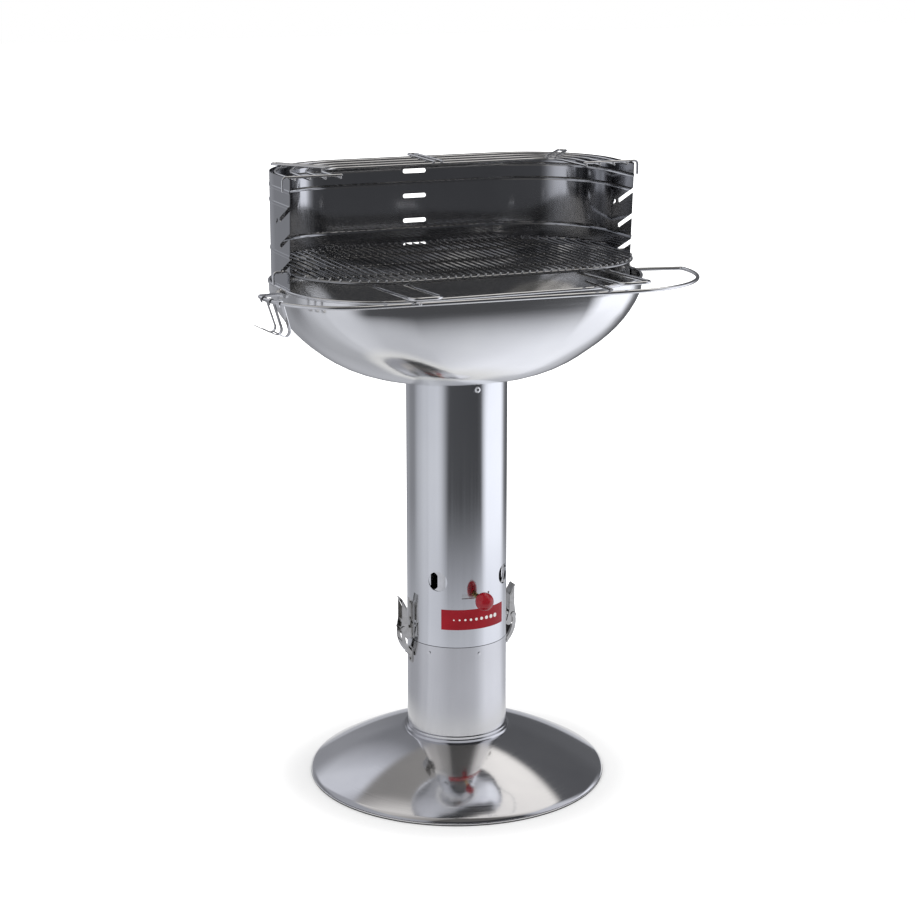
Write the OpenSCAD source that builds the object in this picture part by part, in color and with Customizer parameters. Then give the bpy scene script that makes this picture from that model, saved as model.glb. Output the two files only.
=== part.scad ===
// Pedestal charcoal barbecue: dished foot, two-part pillar with ash bucket and air ring,
// deep oval fire bowl, windshield, cooking grid, warming rack and a front rail with hooks.
// Origin at the middle of the foot on the floor, +Z up, the open front faces -Y.

/* [Foot] */
// Outer radius of the foot
foot_r = 239; // [200:1:290]
// Height of the foot's outer edge above the floor
foot_edge_z = 10; // [7:1:16]
// Height of the flat seat in the middle of the foot
foot_seat_z = 73; // [50:1:100]
// Rise of the dome above a straight cone
foot_crown = 6; // [0:1:10]
// Sheet thickness of the foot
foot_wall = 2; // [1.5:0.5:3]
// Width of the floor ring under the foot's edge
floor_ring_w = 8; // [5:1:14]
// Radius of the circle of bolts that hold the bucket on the foot
foot_bolt_circle_r = 50; // [30:1:60]

/* [Pillar] */
// Outer radius of the pillar
pillar_r = 80; // [65:1:95]
// Sheet thickness of the pillar tubes
pillar_wall = 1.5; // [1:0.1:2.5]
// Height of the seam between the ash bucket and the upper pillar
seam_z = 232; // [200:1:250]
// Height of the pillar's top, where the bowl sits
pillar_top_z = 662; // [600:1:720]
// Radius of the four air holes
vent_r = 16; // [10:0.5:18]
// Height of the air holes' middle
vent_z = 340; // [335:1:380]
// Height of the slot for the air control
slot_z = 317; // [315:1:325]
// Height of the slot
slot_h = 8; // [7:0.5:10]
// Half angle of the slot about the pillar's axis
slot_half_angle = 17; // [16.8:0.1:20]

/* [Air ring] */
// Sheet thickness of the air ring
ring_wall = 1.2; // [0.8:0.1:2]
// Angle by which the ring's holes stand off the pillar's holes
ring_offset_angle = 10; // [0:1:12]
// Radius of the stem that carries the knob
stem_r = 3; // [2:0.5:3.5]
// Radius of the ball knob
knob_r = 14.5; // [10:0.5:18]
// Distance of the knob's middle from the pillar's axis
knob_reach = 112; // [105:1:140]

/* [Label plate] */
// Half angle that the plate covers
label_half_angle = 40.5; // [20:0.5:45]
// Height of the plate's lower edge
label_z = 262; // [258:1:266]
// Height of the plate
label_h = 33; // [20:1:36]
// Thickness of the plate
label_t = 0.4; // [0.3:0.1:1]

/* [Bowl] */
// Half of the bowl's width at its wall's outer face
bowl_half_x = 287.8; // [260:0.1:320]
// Half of the bowl's depth at its wall's outer face
bowl_half_y = 180.8; // [165:0.1:200]
// Corner radius of the bowl seen from above
bowl_corner_r = 147; // [120:1:150]
// Height of the shoulder where the curved part begins
bowl_shoulder_z = 800; // [780:1:805]
// Height of the wall's upper edge
bowl_wall_top_z = 811.5; // [808:0.5:820]
// Radius of the flat seat at the bowl's bottom
bowl_seat_r = 95; // [90:1:110]
// Radius of the ash opening in the bowl's bottom
ash_hole_r = 66; // [50:1:70]
// Sheet thickness of the bowl
bowl_wall = 1.5; // [1.2:0.1:2.5]
// Radius of the rolled rim
rim_r = 2.5; // [2:0.1:4]

/* [Windshield] */
// Sheet thickness of the windshield
shield_wall = 1.2; // [1:0.1:2]
// Height of the windshield's lower edge
shield_bottom_z = 801.5; // [800:0.5:804]
// Height of the windshield's upper edge
shield_top_z = 983; // [975:1:1010]
// Distance of the front edge from the middle at the top
shield_front_top_y = 44; // [30:1:60]
// Distance of the front edge from the middle at the bottom
shield_front_low_y = 34; // [25:1:50]
// Height of the lowest notch's seat
notch_low_z = 838; // [836:0.5:840]
// Distance between two levels
level_pitch = 40; // [34:1:42]
// Width of a notch
notch_w = 7; // [6:0.5:8]
// Slope of a notch
notch_angle = 25; // [15:1:35]
// Distance of a notch's seat behind the middle
notch_seat_y = 4; // [0:1:10]
// Length of a slot in the back
back_slot_l = 40; // [32:1:60]

/* [Cooking grid] */
// Gap between the grid's frame and each side of the windshield
grid_side_gap = 2.05; // [1.55:0.1:6]
// Distance of the grid's front wire from the bowl's front wall
grid_front_gap = 26.3; // [20:0.1:40]
// Distance of the grid's back wire from the windshield's back
grid_back_gap = 8.05; // [6:0.05:20]
// Corner radius of the grid's frame
grid_corner_r = 135; // [120:1:150]
// Radius of the frame wire
grid_wire_r = 2.5; // [2:0.1:3]
// Radius of a grid bar
grid_bar_r = 1.5; // [1:0.1:2]
// Distance between two grid bars
grid_pitch = 12; // [10:0.5:16]
// Distance of a handle's middle from the middle of the grid
handle_x = 165; // [100:1:175]
// Width of a handle between its wires' middles
handle_w = 48; // [30:1:60]
// Distance of the handles' front ends from the bowl's front wall
handle_reach = 109.2; // [70:0.1:140]

/* [Charcoal grate] */
// Height of the charcoal grate's frame
coal_z = 715; // [700:1:735]
// Radius of the charcoal grate's frame wire
coal_wire_r = 3; // [2:0.5:4]
// Radius of a charcoal grate bar
coal_bar_r = 2; // [1.5:0.5:3]
// Distance between two charcoal grate bars
coal_pitch = 15; // [12:0.5:20]

/* [Warming rack] */
// Distance of the inner hoop's side runs from the middle
rack_inner_x = 203; // [190:1:205]
// Distance between two hoops at the sides
rack_pitch_x = 24; // [16:1:24]
// Distance of the inner hoop's back run from the middle
rack_inner_y = 77; // [60:1:78]
// Distance between two hoops at the back
rack_pitch_y = 30; // [20:1:30]
// Corner radius of the inner hoop
rack_inner_corner_r = 38; // [30:1:60]
// Growth of the corner radius from hoop to hoop
rack_corner_step = 32; // [20:1:34]
// Distance of the rack's front bars from the middle
rack_front_y = 39; // [25:1:40]
// Radius of the rack's wires
rack_wire_r = 2; // [1.5:0.1:2.5]
// Length of the bent-down ends outside the windshield
rack_hook_drop = 20; // [10:1:30]

/* [Rail] */
// Radius of the rail's wire
rail_r = 3; // [2.5:0.5:4]
// Reach of the left loop's corner from the middle
rail_left_x = 336; // [320:1:350]
// Distance of the left loop's corner from the middle, towards the front
rail_left_y = 48; // [40:1:60]
// Reach of the right loop from the middle
rail_right_x = 362; // [340:1:375]
// Distance of the right loop's corner from the middle, towards the front
rail_right_y = 66; // [50:1:68]
// Distance of the rail's bolts from the middle, towards the front
rail_end_y = 12; // [8:1:20]
// Distance of the front run's left end from the bowl's front wall
rail_left_gap = 9.2; // [7.2:0.1:20]
// Distance of the front run's right end from the bowl's front wall
rail_right_gap = 57.2; // [55.2:0.1:70]
// Distance of a strut from the middle
strut_x = 153; // [120:1:170]
// Radius of a strut
strut_r = 2.5; // [2:0.5:3]

/* [Hooks] */
// Width of a hook's strip
hook_w = 6.5; // [5:0.5:8]
// Thickness of a hook's strip
hook_t = 1.2; // [1:0.1:2]
// Length of a hook from the rail to its lowest point
hook_drop = 52; // [40:1:80]
// Inner radius of a hook's lower bend
hook_bend_r = 7; // [5:0.5:10]

/* [Latches] */
// Height of the lever's pivot
latch_pivot_z = 240; // [238:1:244]
// Distance of the lever's pivot from the pillar's face
latch_pivot_out = 8; // [7.5:0.5:10]
// Radius of the latch pins
latch_pin_r = 2; // [1.5:0.1:2.2]
// Thickness of the latch sheet
latch_t = 1.5; // [1.2:0.1:1.6]

/* [Hidden] */
$fn = 96;

// Clearances
cut = 1;
weld_gap = 0.05;
seat_gap = 0.3;
hole_gap = 0.05;
fit_gap = 0.05;
slide_gap = 0.2;
joint_swell = 0.03;
joint_split = 0.02;
joint_half_l = 0.3;

// Foot and floor ring
foot_flange_r = foot_r - floor_ring_w / 2;
floor_ring_h = foot_edge_z - foot_wall;
crown_steps = 8;
foot_seat_w = 6;
foot_seat_r = pillar_r + foot_seat_w;
collar_w = 5;
collar_h = 9;
foot_bolt_r = 3;
foot_bolt_count = 3;
bolt_head_h = 4;
bolt_head_r = 5.5;
foot_nut_h = 5;
bucket_floor_z = foot_seat_z + weld_gap;

// Pillar
pillar_in_r = pillar_r - pillar_wall;
spigot_wall = 1.5;
spigot_below = 30;
spigot_above = 26;
spigot_r = pillar_in_r - slide_gap;
rivet_r = 1.5;
rivet_head_r = 2.6;
rivet_head_h = 1.2;
spigot_rivet_drop = 12;
spigot_rivet_z = seam_z - spigot_rivet_drop;
spigot_rivet_first_angle = 4;
spigot_rivet_count = 6;
front = -90;

// Air ring
ring_r = pillar_in_r - seat_gap;
ring_in_r = ring_r - ring_wall;
ring_below = 11;
ring_above = 8;
ring_low_z = slot_z - ring_below;
ring_high_z = vent_z + vent_r + ring_above;
rest_h = 4;
rest_w = 3.5;
rest_half_angle = 8;
stem_tail_l = 6;
stem_in_r = ring_in_r - stem_tail_l;
stem_collar_r = 4.5;
stem_nut_h = 3;
stem_nut_r = 6;
stem_nut_seat_r = sqrt(ring_in_r * ring_in_r - stem_nut_r * stem_nut_r) - weld_gap;
stem_socket_share = 0.45;
knob_neck_h = 5;
knob_neck_r = 6;

// Bowl
bowl_base_z = pillar_top_z + weld_gap;
bowl_drop = bowl_shoulder_z - bowl_base_z;
bowl_power_share = 1.33;
bowl_levels = 16;
bowl_corner_steps = 12;
bowl_min_flat = 1;
bowl_collar_h = 30;
bowl_collar_wall = 2;
bowl_collar_r = pillar_in_r - slide_gap;
bowl_screw_drop = 12;
bowl_screw_z = pillar_top_z - bowl_screw_drop;
bowl_screw_r = 2.5;
bowl_screw_count = 3;
dome_nut_r = 6.2;
dome_nut_h = 2.5;
dome_r = 5;
rim_z = bowl_wall_top_z + weld_gap + rim_r;
rim_half_x = bowl_half_x - bowl_wall / 2;
rim_half_y = bowl_half_y - bowl_wall / 2;

// Windshield
shield_half_x = rim_half_x - rim_r - seat_gap;
shield_back_y = rim_half_y - rim_r - seat_gap;
shield_corner_r = bowl_corner_r - rim_r;
shield_h = shield_top_z - shield_bottom_z;
bead_h = 6;
bead_out = 1;
bead_flank_share = 0.7;
bead_shares = [0.355, 0.763, 0.89];
slot_rise = 1;
notch_headroom = 40;
slot_headroom = 20;
levels = floor((shield_top_z - notch_low_z - notch_headroom) / level_pitch) + 1;
back_levels = floor((shield_top_z - notch_low_z - slot_rise - slot_headroom) / level_pitch) + 1;
keyhole_y = 19;
keyhole_r = 3;
keyhole_tail_r = 1.5;
keyhole_drop = 6;
keyhole_below = 3;
keyhole_z = notch_low_z + (levels - 1) * level_pitch - keyhole_below;

// Rail
rail_z = rim_z + rim_r - rail_r;
rail_bolt_r = 2.5;
rail_hole_edge = 0.4;
rail_hole_z = bowl_wall_top_z - rail_bolt_r - rail_hole_edge;
rail_nut_r = 5;
rail_nut_h = 3;
rail_bolt_past = 17;
rail_eye_r = rail_bolt_r + seat_gap + rail_r;
rail_eye_t = 5;
rail_root_r = rail_eye_r + rail_r / 2;
rail_eye_x = rim_half_x + rim_r + seat_gap + rail_r;
rail_loop_bend = 8;
rail_left_bend = 132;
rail_right_bend = 150;
rail_left_spread = 9;
rail_left_far_x = rail_left_x + rail_left_spread;
rail_front_left_y = bowl_half_y + rail_left_gap;
rail_front_right_y = bowl_half_y + rail_right_gap;
rail_points = [
    [-rail_eye_x, -rail_end_y - rail_root_r, rail_hole_z],
    [-rail_left_x, -rail_left_y, rail_z],
    [-rail_left_far_x, -rail_front_left_y, rail_z],
    [rail_right_x, -rail_front_right_y, rail_z],
    [rail_right_x, -rail_right_y, rail_z],
    [rail_eye_x, -rail_end_y - rail_root_r, rail_hole_z]
];
rail_bends = [0, rail_loop_bend, rail_left_bend, rail_right_bend, rail_loop_bend, 0];
strut_z = rim_z + rim_r + strut_r + weld_gap;
strut_overlap = 35.8;
strut_in_y = bowl_half_y - strut_overlap;
strut_overhang = 4;

// Cooking grid
grid_z = notch_low_z;
grid_half_x = shield_half_x - shield_wall - grid_side_gap;
grid_front_y = bowl_half_y - bowl_wall - grid_front_gap;
grid_back_y = shield_back_y - shield_wall - grid_back_gap;
grid_corner_cx = grid_half_x - grid_wire_r - grid_corner_r;
grid_bar_z = grid_z + grid_wire_r + grid_bar_r + weld_gap;
grid_bar_edge = 8;
grid_bar_over = 2;
grid_cross_shares = [-0.55, 0.6];
handle_front_y = bowl_half_y + handle_reach;
handle_rise = 5;
handle_root = 12;
handle_bend = 12;
handle_tail_gap = 0.1;
side_hook_out = 13;
side_hook_drop = 18;
side_hook_bend = 6;
tab_w = 24;
tab_wire_r = 1.5;
tab_past = 4;
tab_bend = 4;

// Charcoal grate
coal_gap = 0.7;
coal_bar_z = coal_z + coal_wire_r + coal_bar_r + weld_gap;
coal_bar_edge = 12;

// Warming rack
rack_hoops_n = 4;
rack_bar_z = shield_top_z + rack_wire_r + weld_gap;
rack_hoop_z = rack_bar_z - 2 * rack_wire_r - weld_gap;
rack_bar_out = 9;
rack_bar_bend = 6;
rack_tie_gap = 14;
rack_tie_in = 4;
rack_tie_out = 12;
rack_tie_bend = 6;

// Hooks: distance of each one's seat along the left loop's corner, as an angle on that corner
hook_angles = [5, 16, 26];
hook_gap = 0.3;
hook_lip_l = 4;
hook_turn = 136;
hook_lean = 18;
hook_tail_l = 24;
hook_taper = 10;
hook_tip_share = 0.2;
hook_steps = 16;

// Latches, drawn at the right side of the pillar
latch_plate_half_w = 11;
latch_plate_up = 3;
latch_plate_low_z = seam_z + latch_plate_up;
latch_plate_h = 62;
ear_in = 6.5;
ear_r = 5;
ear_h = 16;
cheek_gap = 0.3;
cheek_in = ear_in + latch_t + cheek_gap;
cheek_out = cheek_in + latch_t;
bow_in = cheek_out + cheek_gap;
bow_out = bow_in + latch_t;
pivot_x = pillar_r + latch_pivot_out;
link_out = 8;
link_up = 12;
link_x = pivot_x + link_out;
link_z = latch_pivot_z + link_up;
eye_r = 4.5;
bow_mid_r = 47;
bow_half_w = 3;
bow_drop_z = 9;
bow_cx = link_x - sqrt(bow_mid_r * bow_mid_r - bow_drop_z * bow_drop_z);
bow_cz = link_z - bow_drop_z;
bow_reach = 35;
bow_low_z = latch_pivot_z - bow_reach;
bow_strap_h = 27;
bow_clear = 2.2;
bar_r = 1.8;
bar_x = pillar_r + bow_clear + bar_r;
bar_up = 2.3;
bar_gap = 0.2;
bar_z = bow_low_z + bar_up;
lever_h = 62;
catch_half_w = 8;
catch_nose_l = 4.2;
catch_plate_h = 24;
catch_below = 14;
catch_plate_low_z = bar_z - catch_below;
latch_rivet_drop = 4;

// Outlines of the lever's cheek and web from its pivot: shares of the link's reach and of its height
cheek_shares = [
    [-0.38, 0.06], [0.5, -0.05], [1.44, 0.14], [1.5, 0.24], [1.25, 0.48], [1.25, 0.94], [0.38, 0.71],
    [0.12, 0.35]
];
web_shares = [[0.12, 0.35], [0.32, 0.35], [0.38, 0.74], [1.44, 1], [1.25, 1.01], [0.19, 0.75]];
spring_wire_r = 0.6;
spring_r = 3.1;
spring_turns = 5;
spring_pitch = 1.9;
spring_steps = 9;
spring_sides = 6;

// Unit vector from a to b
function unit(v) = v / norm(v);

// Straight round bar between two points
module rod(a, b, r) {
    v = b - a;
    translate(a) rotate([0, acos(v[2] / norm(v)), atan2(v[1], v[0])]) cylinder(r = r, h = norm(v));
}

// Distance from a corner to where its bend begins
function setback(p, i, bends) =
    bends[i] * tan(acos(unit(p[i] - p[i - 1]) * unit(p[i + 1] - p[i])) / 2);

// Thin ring round a wire at p, across the direction v, that closes the hairline between two runs
module joint_ring(p, v, r) {
    rod(p - v * joint_half_l, p + v * joint_half_l, r + joint_swell);
}

// One bend of a wire at the corner b, between the directions u and w
module wire_bend(b, u, w, bend, r) {
    turn = acos(u * w);
    for (v = [-u, w]) joint_ring(b + v * bend * tan(turn / 2), v, r);
    side = unit(w - u * (u * w));
    centre = b - u * bend * tan(turn / 2) + side * bend;
    up = cross(u, side);
    multmatrix([
        [-side[0], u[0], up[0], centre[0]],
        [-side[1], u[1], up[1], centre[1]],
        [-side[2], u[2], up[2], centre[2]],
        [0, 0, 0, 1]
    ]) rotate_extrude(angle = turn) translate([bend, 0]) circle(r = r);
}

// Round wire through the points p, each inner corner bent to its own radius
module wire(p, bends, r) {
    last = len(p) - 1;
    for (i = [0 : last - 1]) {
        u = unit(p[i + 1] - p[i]);
        back = i == 0 ? 0 : setback(p, i, bends);
        ahead = i == last - 1 ? 0 : setback(p, i + 1, bends);
        rod(
            p[i] + u * (back == 0 ? 0 : back + joint_split),
            p[i + 1] - u * (ahead == 0 ? 0 : ahead + joint_split), r
        );
    }
    for (i = [1 : last - 1]) {
        wire_bend(p[i], unit(p[i] - p[i - 1]), unit(p[i + 1] - p[i]), bends[i], r);
    }
}

// Closed wire along a rounded rectangle, given by its middle line
module wire_loop(x0, x1, y0, y1, corner, r, z) {
    for (c = [[x1, y1, 0], [x0, y1, 90], [x0, y0, 180], [x1, y0, 270]]) {
        translate([c[0] + (c[0] == x1 ? -corner : corner), c[1] + (c[1] == y1 ? -corner : corner), z])
            rotate(c[2]) {
                rotate_extrude(angle = 90) translate([corner, 0]) circle(r = r);
                joint_ring([corner, 0, 0], [0, 1, 0], r);
                joint_ring([0, corner, 0], [1, 0, 0], r);
            }
    }
    in = corner + joint_split;
    for (y = [y0, y1]) rod([x0 + in, y, z], [x1 - in, y, z], r);
    for (x = [x0, x1]) rod([x, y0 + in, z], [x, y1 - in, z], r);
}

// Round disc or pin that points outward from the pillar's axis at an angle
module radial_pin(angle, z, r, from_r, to_r) {
    rotate(angle) translate([from_r, 0, z]) rotate([0, 90, 0]) cylinder(r = r, h = to_r - from_r);
}

// Part of a tube between two angles
module sector_tube(r_in, r_out, z, h, from_angle, to_angle) {
    rotate(from_angle) rotate_extrude(angle = to_angle - from_angle)
        translate([r_in, z]) square([r_out - r_in, h]);
}

module tube(r_in, r_out, z, h) {
    translate([0, 0, z]) difference() {
        cylinder(r = r_out, h = h);
        translate([0, 0, -cut]) cylinder(r = r_in, h = h + 2 * cut);
    }
}

module both_sides() {
    children();
    mirror([1, 0, 0]) children();
}

// Height of the dome over a given radius
function crown_share(k) = k / crown_steps;
function dome_point(k, lift) = [
    foot_flange_r + (foot_seat_r - foot_flange_r) * crown_share(k),
    foot_edge_z + (foot_seat_z - foot_edge_z) * crown_share(k)
        + 4 * foot_crown * crown_share(k) * (1 - crown_share(k)) - lift
];

module foot_dome() {
    color("silver") difference() {
        rotate_extrude() polygon(concat(
            [[0, foot_seat_z]],
            [for (k = [crown_steps : -1 : 0]) dome_point(k, 0)],
            [[foot_r, foot_edge_z - foot_wall / 2], [foot_r, foot_edge_z - foot_wall]],
            [for (k = [0 : crown_steps]) dome_point(k, foot_wall)],
            [[0, foot_seat_z - foot_wall]]
        ));
        for (i = [0 : foot_bolt_count - 1]) rotate(i * 360 / foot_bolt_count)
            translate([foot_bolt_circle_r, 0, foot_seat_z - foot_wall - cut])
                cylinder(r = foot_bolt_r + hole_gap, h = foot_wall + 2 * cut);
    }
}

// Rubber ring that the foot's edge stands on
module floor_ring() {
    fillet = floor_ring_h / 4;
    in_r = foot_r - floor_ring_w;
    color("dimgray") rotate_extrude() polygon([
        [in_r, 0], [foot_r - fillet, 0], [foot_r, fillet], [foot_r, floor_ring_h - weld_gap],
        [in_r + fillet, floor_ring_h - weld_gap], [in_r, floor_ring_h - fillet]
    ]);
}

// Two-step collar that centres the ash bucket on the foot
module foot_collar() {
    color("silver") rotate_extrude() {
        translate([pillar_r + seat_gap, foot_seat_z + weld_gap]) square([collar_w - seat_gap, collar_h / 2]);
        translate([pillar_r + seat_gap, foot_seat_z + weld_gap]) square([collar_w / 2 - seat_gap, collar_h]);
    }
}

module foot_bolts() {
    color("gray") for (i = [0 : foot_bolt_count - 1]) rotate(i * 360 / foot_bolt_count)
        translate([foot_bolt_circle_r, 0, 0]) {
            top_z = bucket_floor_z + pillar_wall + weld_gap;
            translate([0, 0, top_z]) cylinder(r = bolt_head_r, h = bolt_head_h);
            translate([0, 0, foot_seat_z - foot_wall - foot_nut_h - foot_bolt_r])
                cylinder(r = foot_bolt_r, h = top_z - foot_seat_z + foot_wall + foot_nut_h + foot_bolt_r);
        }
}

module foot_nuts() {
    color("gray") for (i = [0 : foot_bolt_count - 1]) rotate(i * 360 / foot_bolt_count)
        translate([foot_bolt_circle_r, 0, foot_seat_z - foot_wall - foot_nut_h - weld_gap]) difference() {
            cylinder(r = bolt_head_r, h = foot_nut_h, $fn = 6);
            translate([0, 0, -cut]) cylinder(r = foot_bolt_r + fit_gap, h = foot_nut_h + 2 * cut);
        }
}

module ash_bucket() {
    color("gainsboro") difference() {
        translate([0, 0, bucket_floor_z]) cylinder(r = pillar_r, h = seam_z - bucket_floor_z);
        translate([0, 0, bucket_floor_z + pillar_wall]) cylinder(r = pillar_in_r, h = seam_z);
        for (i = [0 : foot_bolt_count - 1]) rotate(i * 360 / foot_bolt_count)
            translate([foot_bolt_circle_r, 0, bucket_floor_z - cut])
                cylinder(r = foot_bolt_r + hole_gap, h = pillar_wall + 2 * cut);
        spigot_rivet_places()
            radial_pin(0, spigot_rivet_z, rivet_r + hole_gap, pillar_in_r - cut, pillar_r + cut);
        both_sides() latch_rivet_place_low()
            radial_pin(0, 0, rivet_r + hole_gap, pillar_in_r - cut, pillar_r + cut);
    }
}

module spigot_rivet_places() {
    for (i = [0 : spigot_rivet_count - 1])
        rotate(front + spigot_rivet_first_angle + i * 360 / spigot_rivet_count) children();
}

// Inner sleeve on the bucket that the upper pillar slides over
module bucket_spigot() {
    color("silver") difference() {
        tube(spigot_r - spigot_wall, spigot_r, seam_z - spigot_below, spigot_below + spigot_above);
        spigot_rivet_places()
            radial_pin(0, spigot_rivet_z, rivet_r + hole_gap, spigot_r - spigot_wall - cut, spigot_r + cut);
    }
}

module spigot_rivets() {
    in_r = spigot_r - spigot_wall;
    color("gray") spigot_rivet_places() {
        radial_pin(0, spigot_rivet_z, rivet_r, in_r - rivet_head_h, pillar_r + rivet_head_h);
        radial_pin(0, spigot_rivet_z, rivet_head_r, pillar_r + weld_gap, pillar_r + rivet_head_h);
        radial_pin(0, spigot_rivet_z, rivet_head_r, in_r - rivet_head_h, in_r - weld_gap);
    }
}

module upper_pillar() {
    color("gainsboro") difference() {
        tube(pillar_in_r, pillar_r, seam_z + weld_gap, pillar_top_z - seam_z - weld_gap);
        for (a = [45 : 90 : 315]) radial_pin(a, vent_z, vent_r, pillar_in_r - cut, pillar_r + cut);
        sector_tube(pillar_in_r - cut, pillar_r + cut, slot_z - slot_h / 2, slot_h,
            front - slot_half_angle, front + slot_half_angle);
        for (i = [0 : bowl_screw_count - 1])
            radial_pin(front + i * 360 / bowl_screw_count, bowl_screw_z, bowl_screw_r + hole_gap,
                pillar_in_r - cut, pillar_r + cut);
        both_sides() latch_rivet_places_high()
            radial_pin(0, 0, rivet_r + hole_gap, pillar_in_r - cut, pillar_r + cut);
    }
}

// Turning ring behind the air holes
module air_ring() {
    color("dimgray") difference() {
        tube(ring_in_r, ring_r, ring_low_z, ring_high_z - ring_low_z);
        for (a = [45 : 90 : 315])
            radial_pin(a - ring_offset_angle, vent_z, vent_r, ring_in_r - cut, ring_r + cut);
        radial_pin(front, slot_z, stem_r + fit_gap, ring_in_r - cut, ring_r + cut);
    }
}

// Brass stem of the air control with its two lock nuts
module air_stem() {
    socket_r = knob_reach - knob_r * stem_socket_share;
    color("goldenrod") {
        radial_pin(front, slot_z, stem_r, stem_in_r, socket_r);
        rotate(front) translate([stem_nut_seat_r - stem_nut_h, 0, slot_z]) rotate([0, 90, 0])
            cylinder(r = stem_nut_r, h = stem_nut_h, $fn = 6);
        radial_pin(front, slot_z, stem_collar_r, pillar_r + stem_nut_h, knob_reach - knob_r - knob_neck_h);
    }
}

module air_knob() {
    socket_r = knob_reach - knob_r * stem_socket_share;
    color("crimson") difference() {
        union() {
            rotate(front) translate([knob_reach, 0, slot_z]) sphere(r = knob_r);
            radial_pin(front, slot_z, knob_neck_r, knob_reach - knob_r - knob_neck_h + weld_gap, knob_reach);
        }
        radial_pin(front, slot_z, stem_r + fit_gap, pillar_r, socket_r + fit_gap);
    }
}

// Three small brackets that the air ring turns on
module air_ring_rests() {
    color("gray") for (a = [0 : 120 : 240]) rotate(front + 180 + a) {
        sector_tube(pillar_in_r - rest_w, pillar_in_r - weld_gap, ring_low_z - rest_h - seat_gap, rest_h,
            -rest_half_angle, rest_half_angle);
    }
}

module label_plate() {
    color("crimson") sector_tube(pillar_r + weld_gap, pillar_r + weld_gap + label_t, label_z, label_h,
        front - label_half_angle, front + label_half_angle);
}

// Shape of the bowl: half sizes and height over the sweep angle of its curved side, 0 at the shoulder
function bowl_x(a) = bowl_seat_r + (bowl_half_x - bowl_seat_r) * cos(a);
function bowl_y(a) = bowl_seat_r + (bowl_half_y - bowl_seat_r) * cos(a);
function bowl_z(a) = bowl_shoulder_z - bowl_drop * pow(sin(a), bowl_power_share);
function bowl_angle(z) = asin(pow((bowl_shoulder_z - z) / bowl_drop, 1 / bowl_power_share));
function bowl_slope_z(a) = bowl_drop * bowl_power_share * pow(sin(a), bowl_power_share - 1) * cos(a);
function bowl_lean_x(a) = atan((bowl_half_x - bowl_seat_r) * sin(a) / bowl_slope_z(a));
function bowl_lean_y(a) = atan((bowl_half_y - bowl_seat_r) * sin(a) / bowl_slope_z(a));

// Points of a rounded rectangle with a fixed number of points
function round_rect(hx, hy, corner, z) = [
    for (q = [0 : 3], k = [0 : bowl_corner_steps]) let (
        r = min(corner, hy - bowl_min_flat, hx - bowl_min_flat),
        a = 90 * q + 90 * k / bowl_corner_steps,
        sx = q == 0 || q == 3 ? 1 : -1,
        sy = q < 2 ? 1 : -1
    ) [sx * (hx - r) + r * cos(a), sy * (hy - r) + r * sin(a), z]
];

// Closed skin through a list of rings that all have the same number of points
module loft(rings) {
    n = len(rings[0]);
    m = len(rings);
    side = [for (i = [0 : m - 2], j = [0 : n - 1]) let (j2 = (j + 1) % n)
        [i * n + j, (i + 1) * n + j, (i + 1) * n + j2, i * n + j2]];
    first = [for (j = [0 : n - 1]) j];
    final = [for (j = [n - 1 : -1 : 0]) (m - 1) * n + j];
    polyhedron(points = [for (g = rings) each g], faces = concat(side, [first, final]), convexity = 6);
}

module bowl() {
    outer = [for (k = [0 : bowl_levels]) let (a = 90 - 90 * k / bowl_levels)
        round_rect(bowl_x(a), bowl_y(a), bowl_corner_r, bowl_z(a))];
    inner = [for (k = [0 : bowl_levels]) let (a = 90 * k / bowl_levels)
        round_rect(bowl_x(a) - bowl_wall * cos(a), bowl_y(a) - bowl_wall * cos(a),
            bowl_corner_r - bowl_wall, bowl_z(a) + bowl_wall * sin(a))];
    color("silver") difference() {
        loft(concat(
            outer,
            [round_rect(bowl_half_x, bowl_half_y, bowl_corner_r, bowl_wall_top_z)],
            [round_rect(bowl_half_x - bowl_wall, bowl_half_y - bowl_wall, bowl_corner_r - bowl_wall,
                bowl_wall_top_z)],
            inner
        ));
        translate([0, 0, bowl_base_z - cut]) cylinder(r = ash_hole_r, h = bowl_wall + 2 * cut);
        rail_hole();
    }
}

// Cross hole for the rail's two threaded ends
module rail_hole() {
    translate([-bowl_half_x - cut, -rail_end_y, rail_hole_z]) rotate([0, 90, 0])
        cylinder(r = rail_bolt_r + hole_gap, h = 2 * (bowl_half_x + cut));
}

module bowl_rim() {
    corner = bowl_corner_r - bowl_wall / 2;
    color("silver") wire_loop(-rim_half_x, rim_half_x, -rim_half_y, rim_half_y, corner, rim_r, rim_z);
}

// Ring under the bowl that sits inside the pillar's top
module bowl_collar() {
    low_z = bowl_base_z - bowl_collar_h - weld_gap;
    color("gray") difference() {
        tube(bowl_collar_r - bowl_collar_wall, bowl_collar_r, low_z, bowl_collar_h);
        for (i = [0 : bowl_screw_count - 1])
            radial_pin(front + i * 360 / bowl_screw_count, bowl_screw_z, bowl_screw_r + hole_gap,
                bowl_collar_r - bowl_collar_wall - cut, bowl_collar_r + cut);
    }
}

module bowl_screws() {
    in_r = bowl_collar_r - bowl_collar_wall - dome_nut_h;
    color("silver") for (i = [0 : bowl_screw_count - 1]) rotate(front + i * 360 / bowl_screw_count) {
        radial_pin(0, bowl_screw_z, bowl_screw_r, in_r, pillar_r + dome_nut_h);
        translate([pillar_r + weld_gap, 0, bowl_screw_z]) rotate([0, 90, 0])
            cylinder(r = dome_nut_r, h = dome_nut_h);
        translate([pillar_r + weld_gap + dome_nut_h, 0, bowl_screw_z]) intersection() {
            sphere(r = dome_r);
            translate([-dome_nut_h, -dome_nut_r, -dome_nut_r]) cube(2 * dome_nut_r);
        }
    }
}

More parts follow.
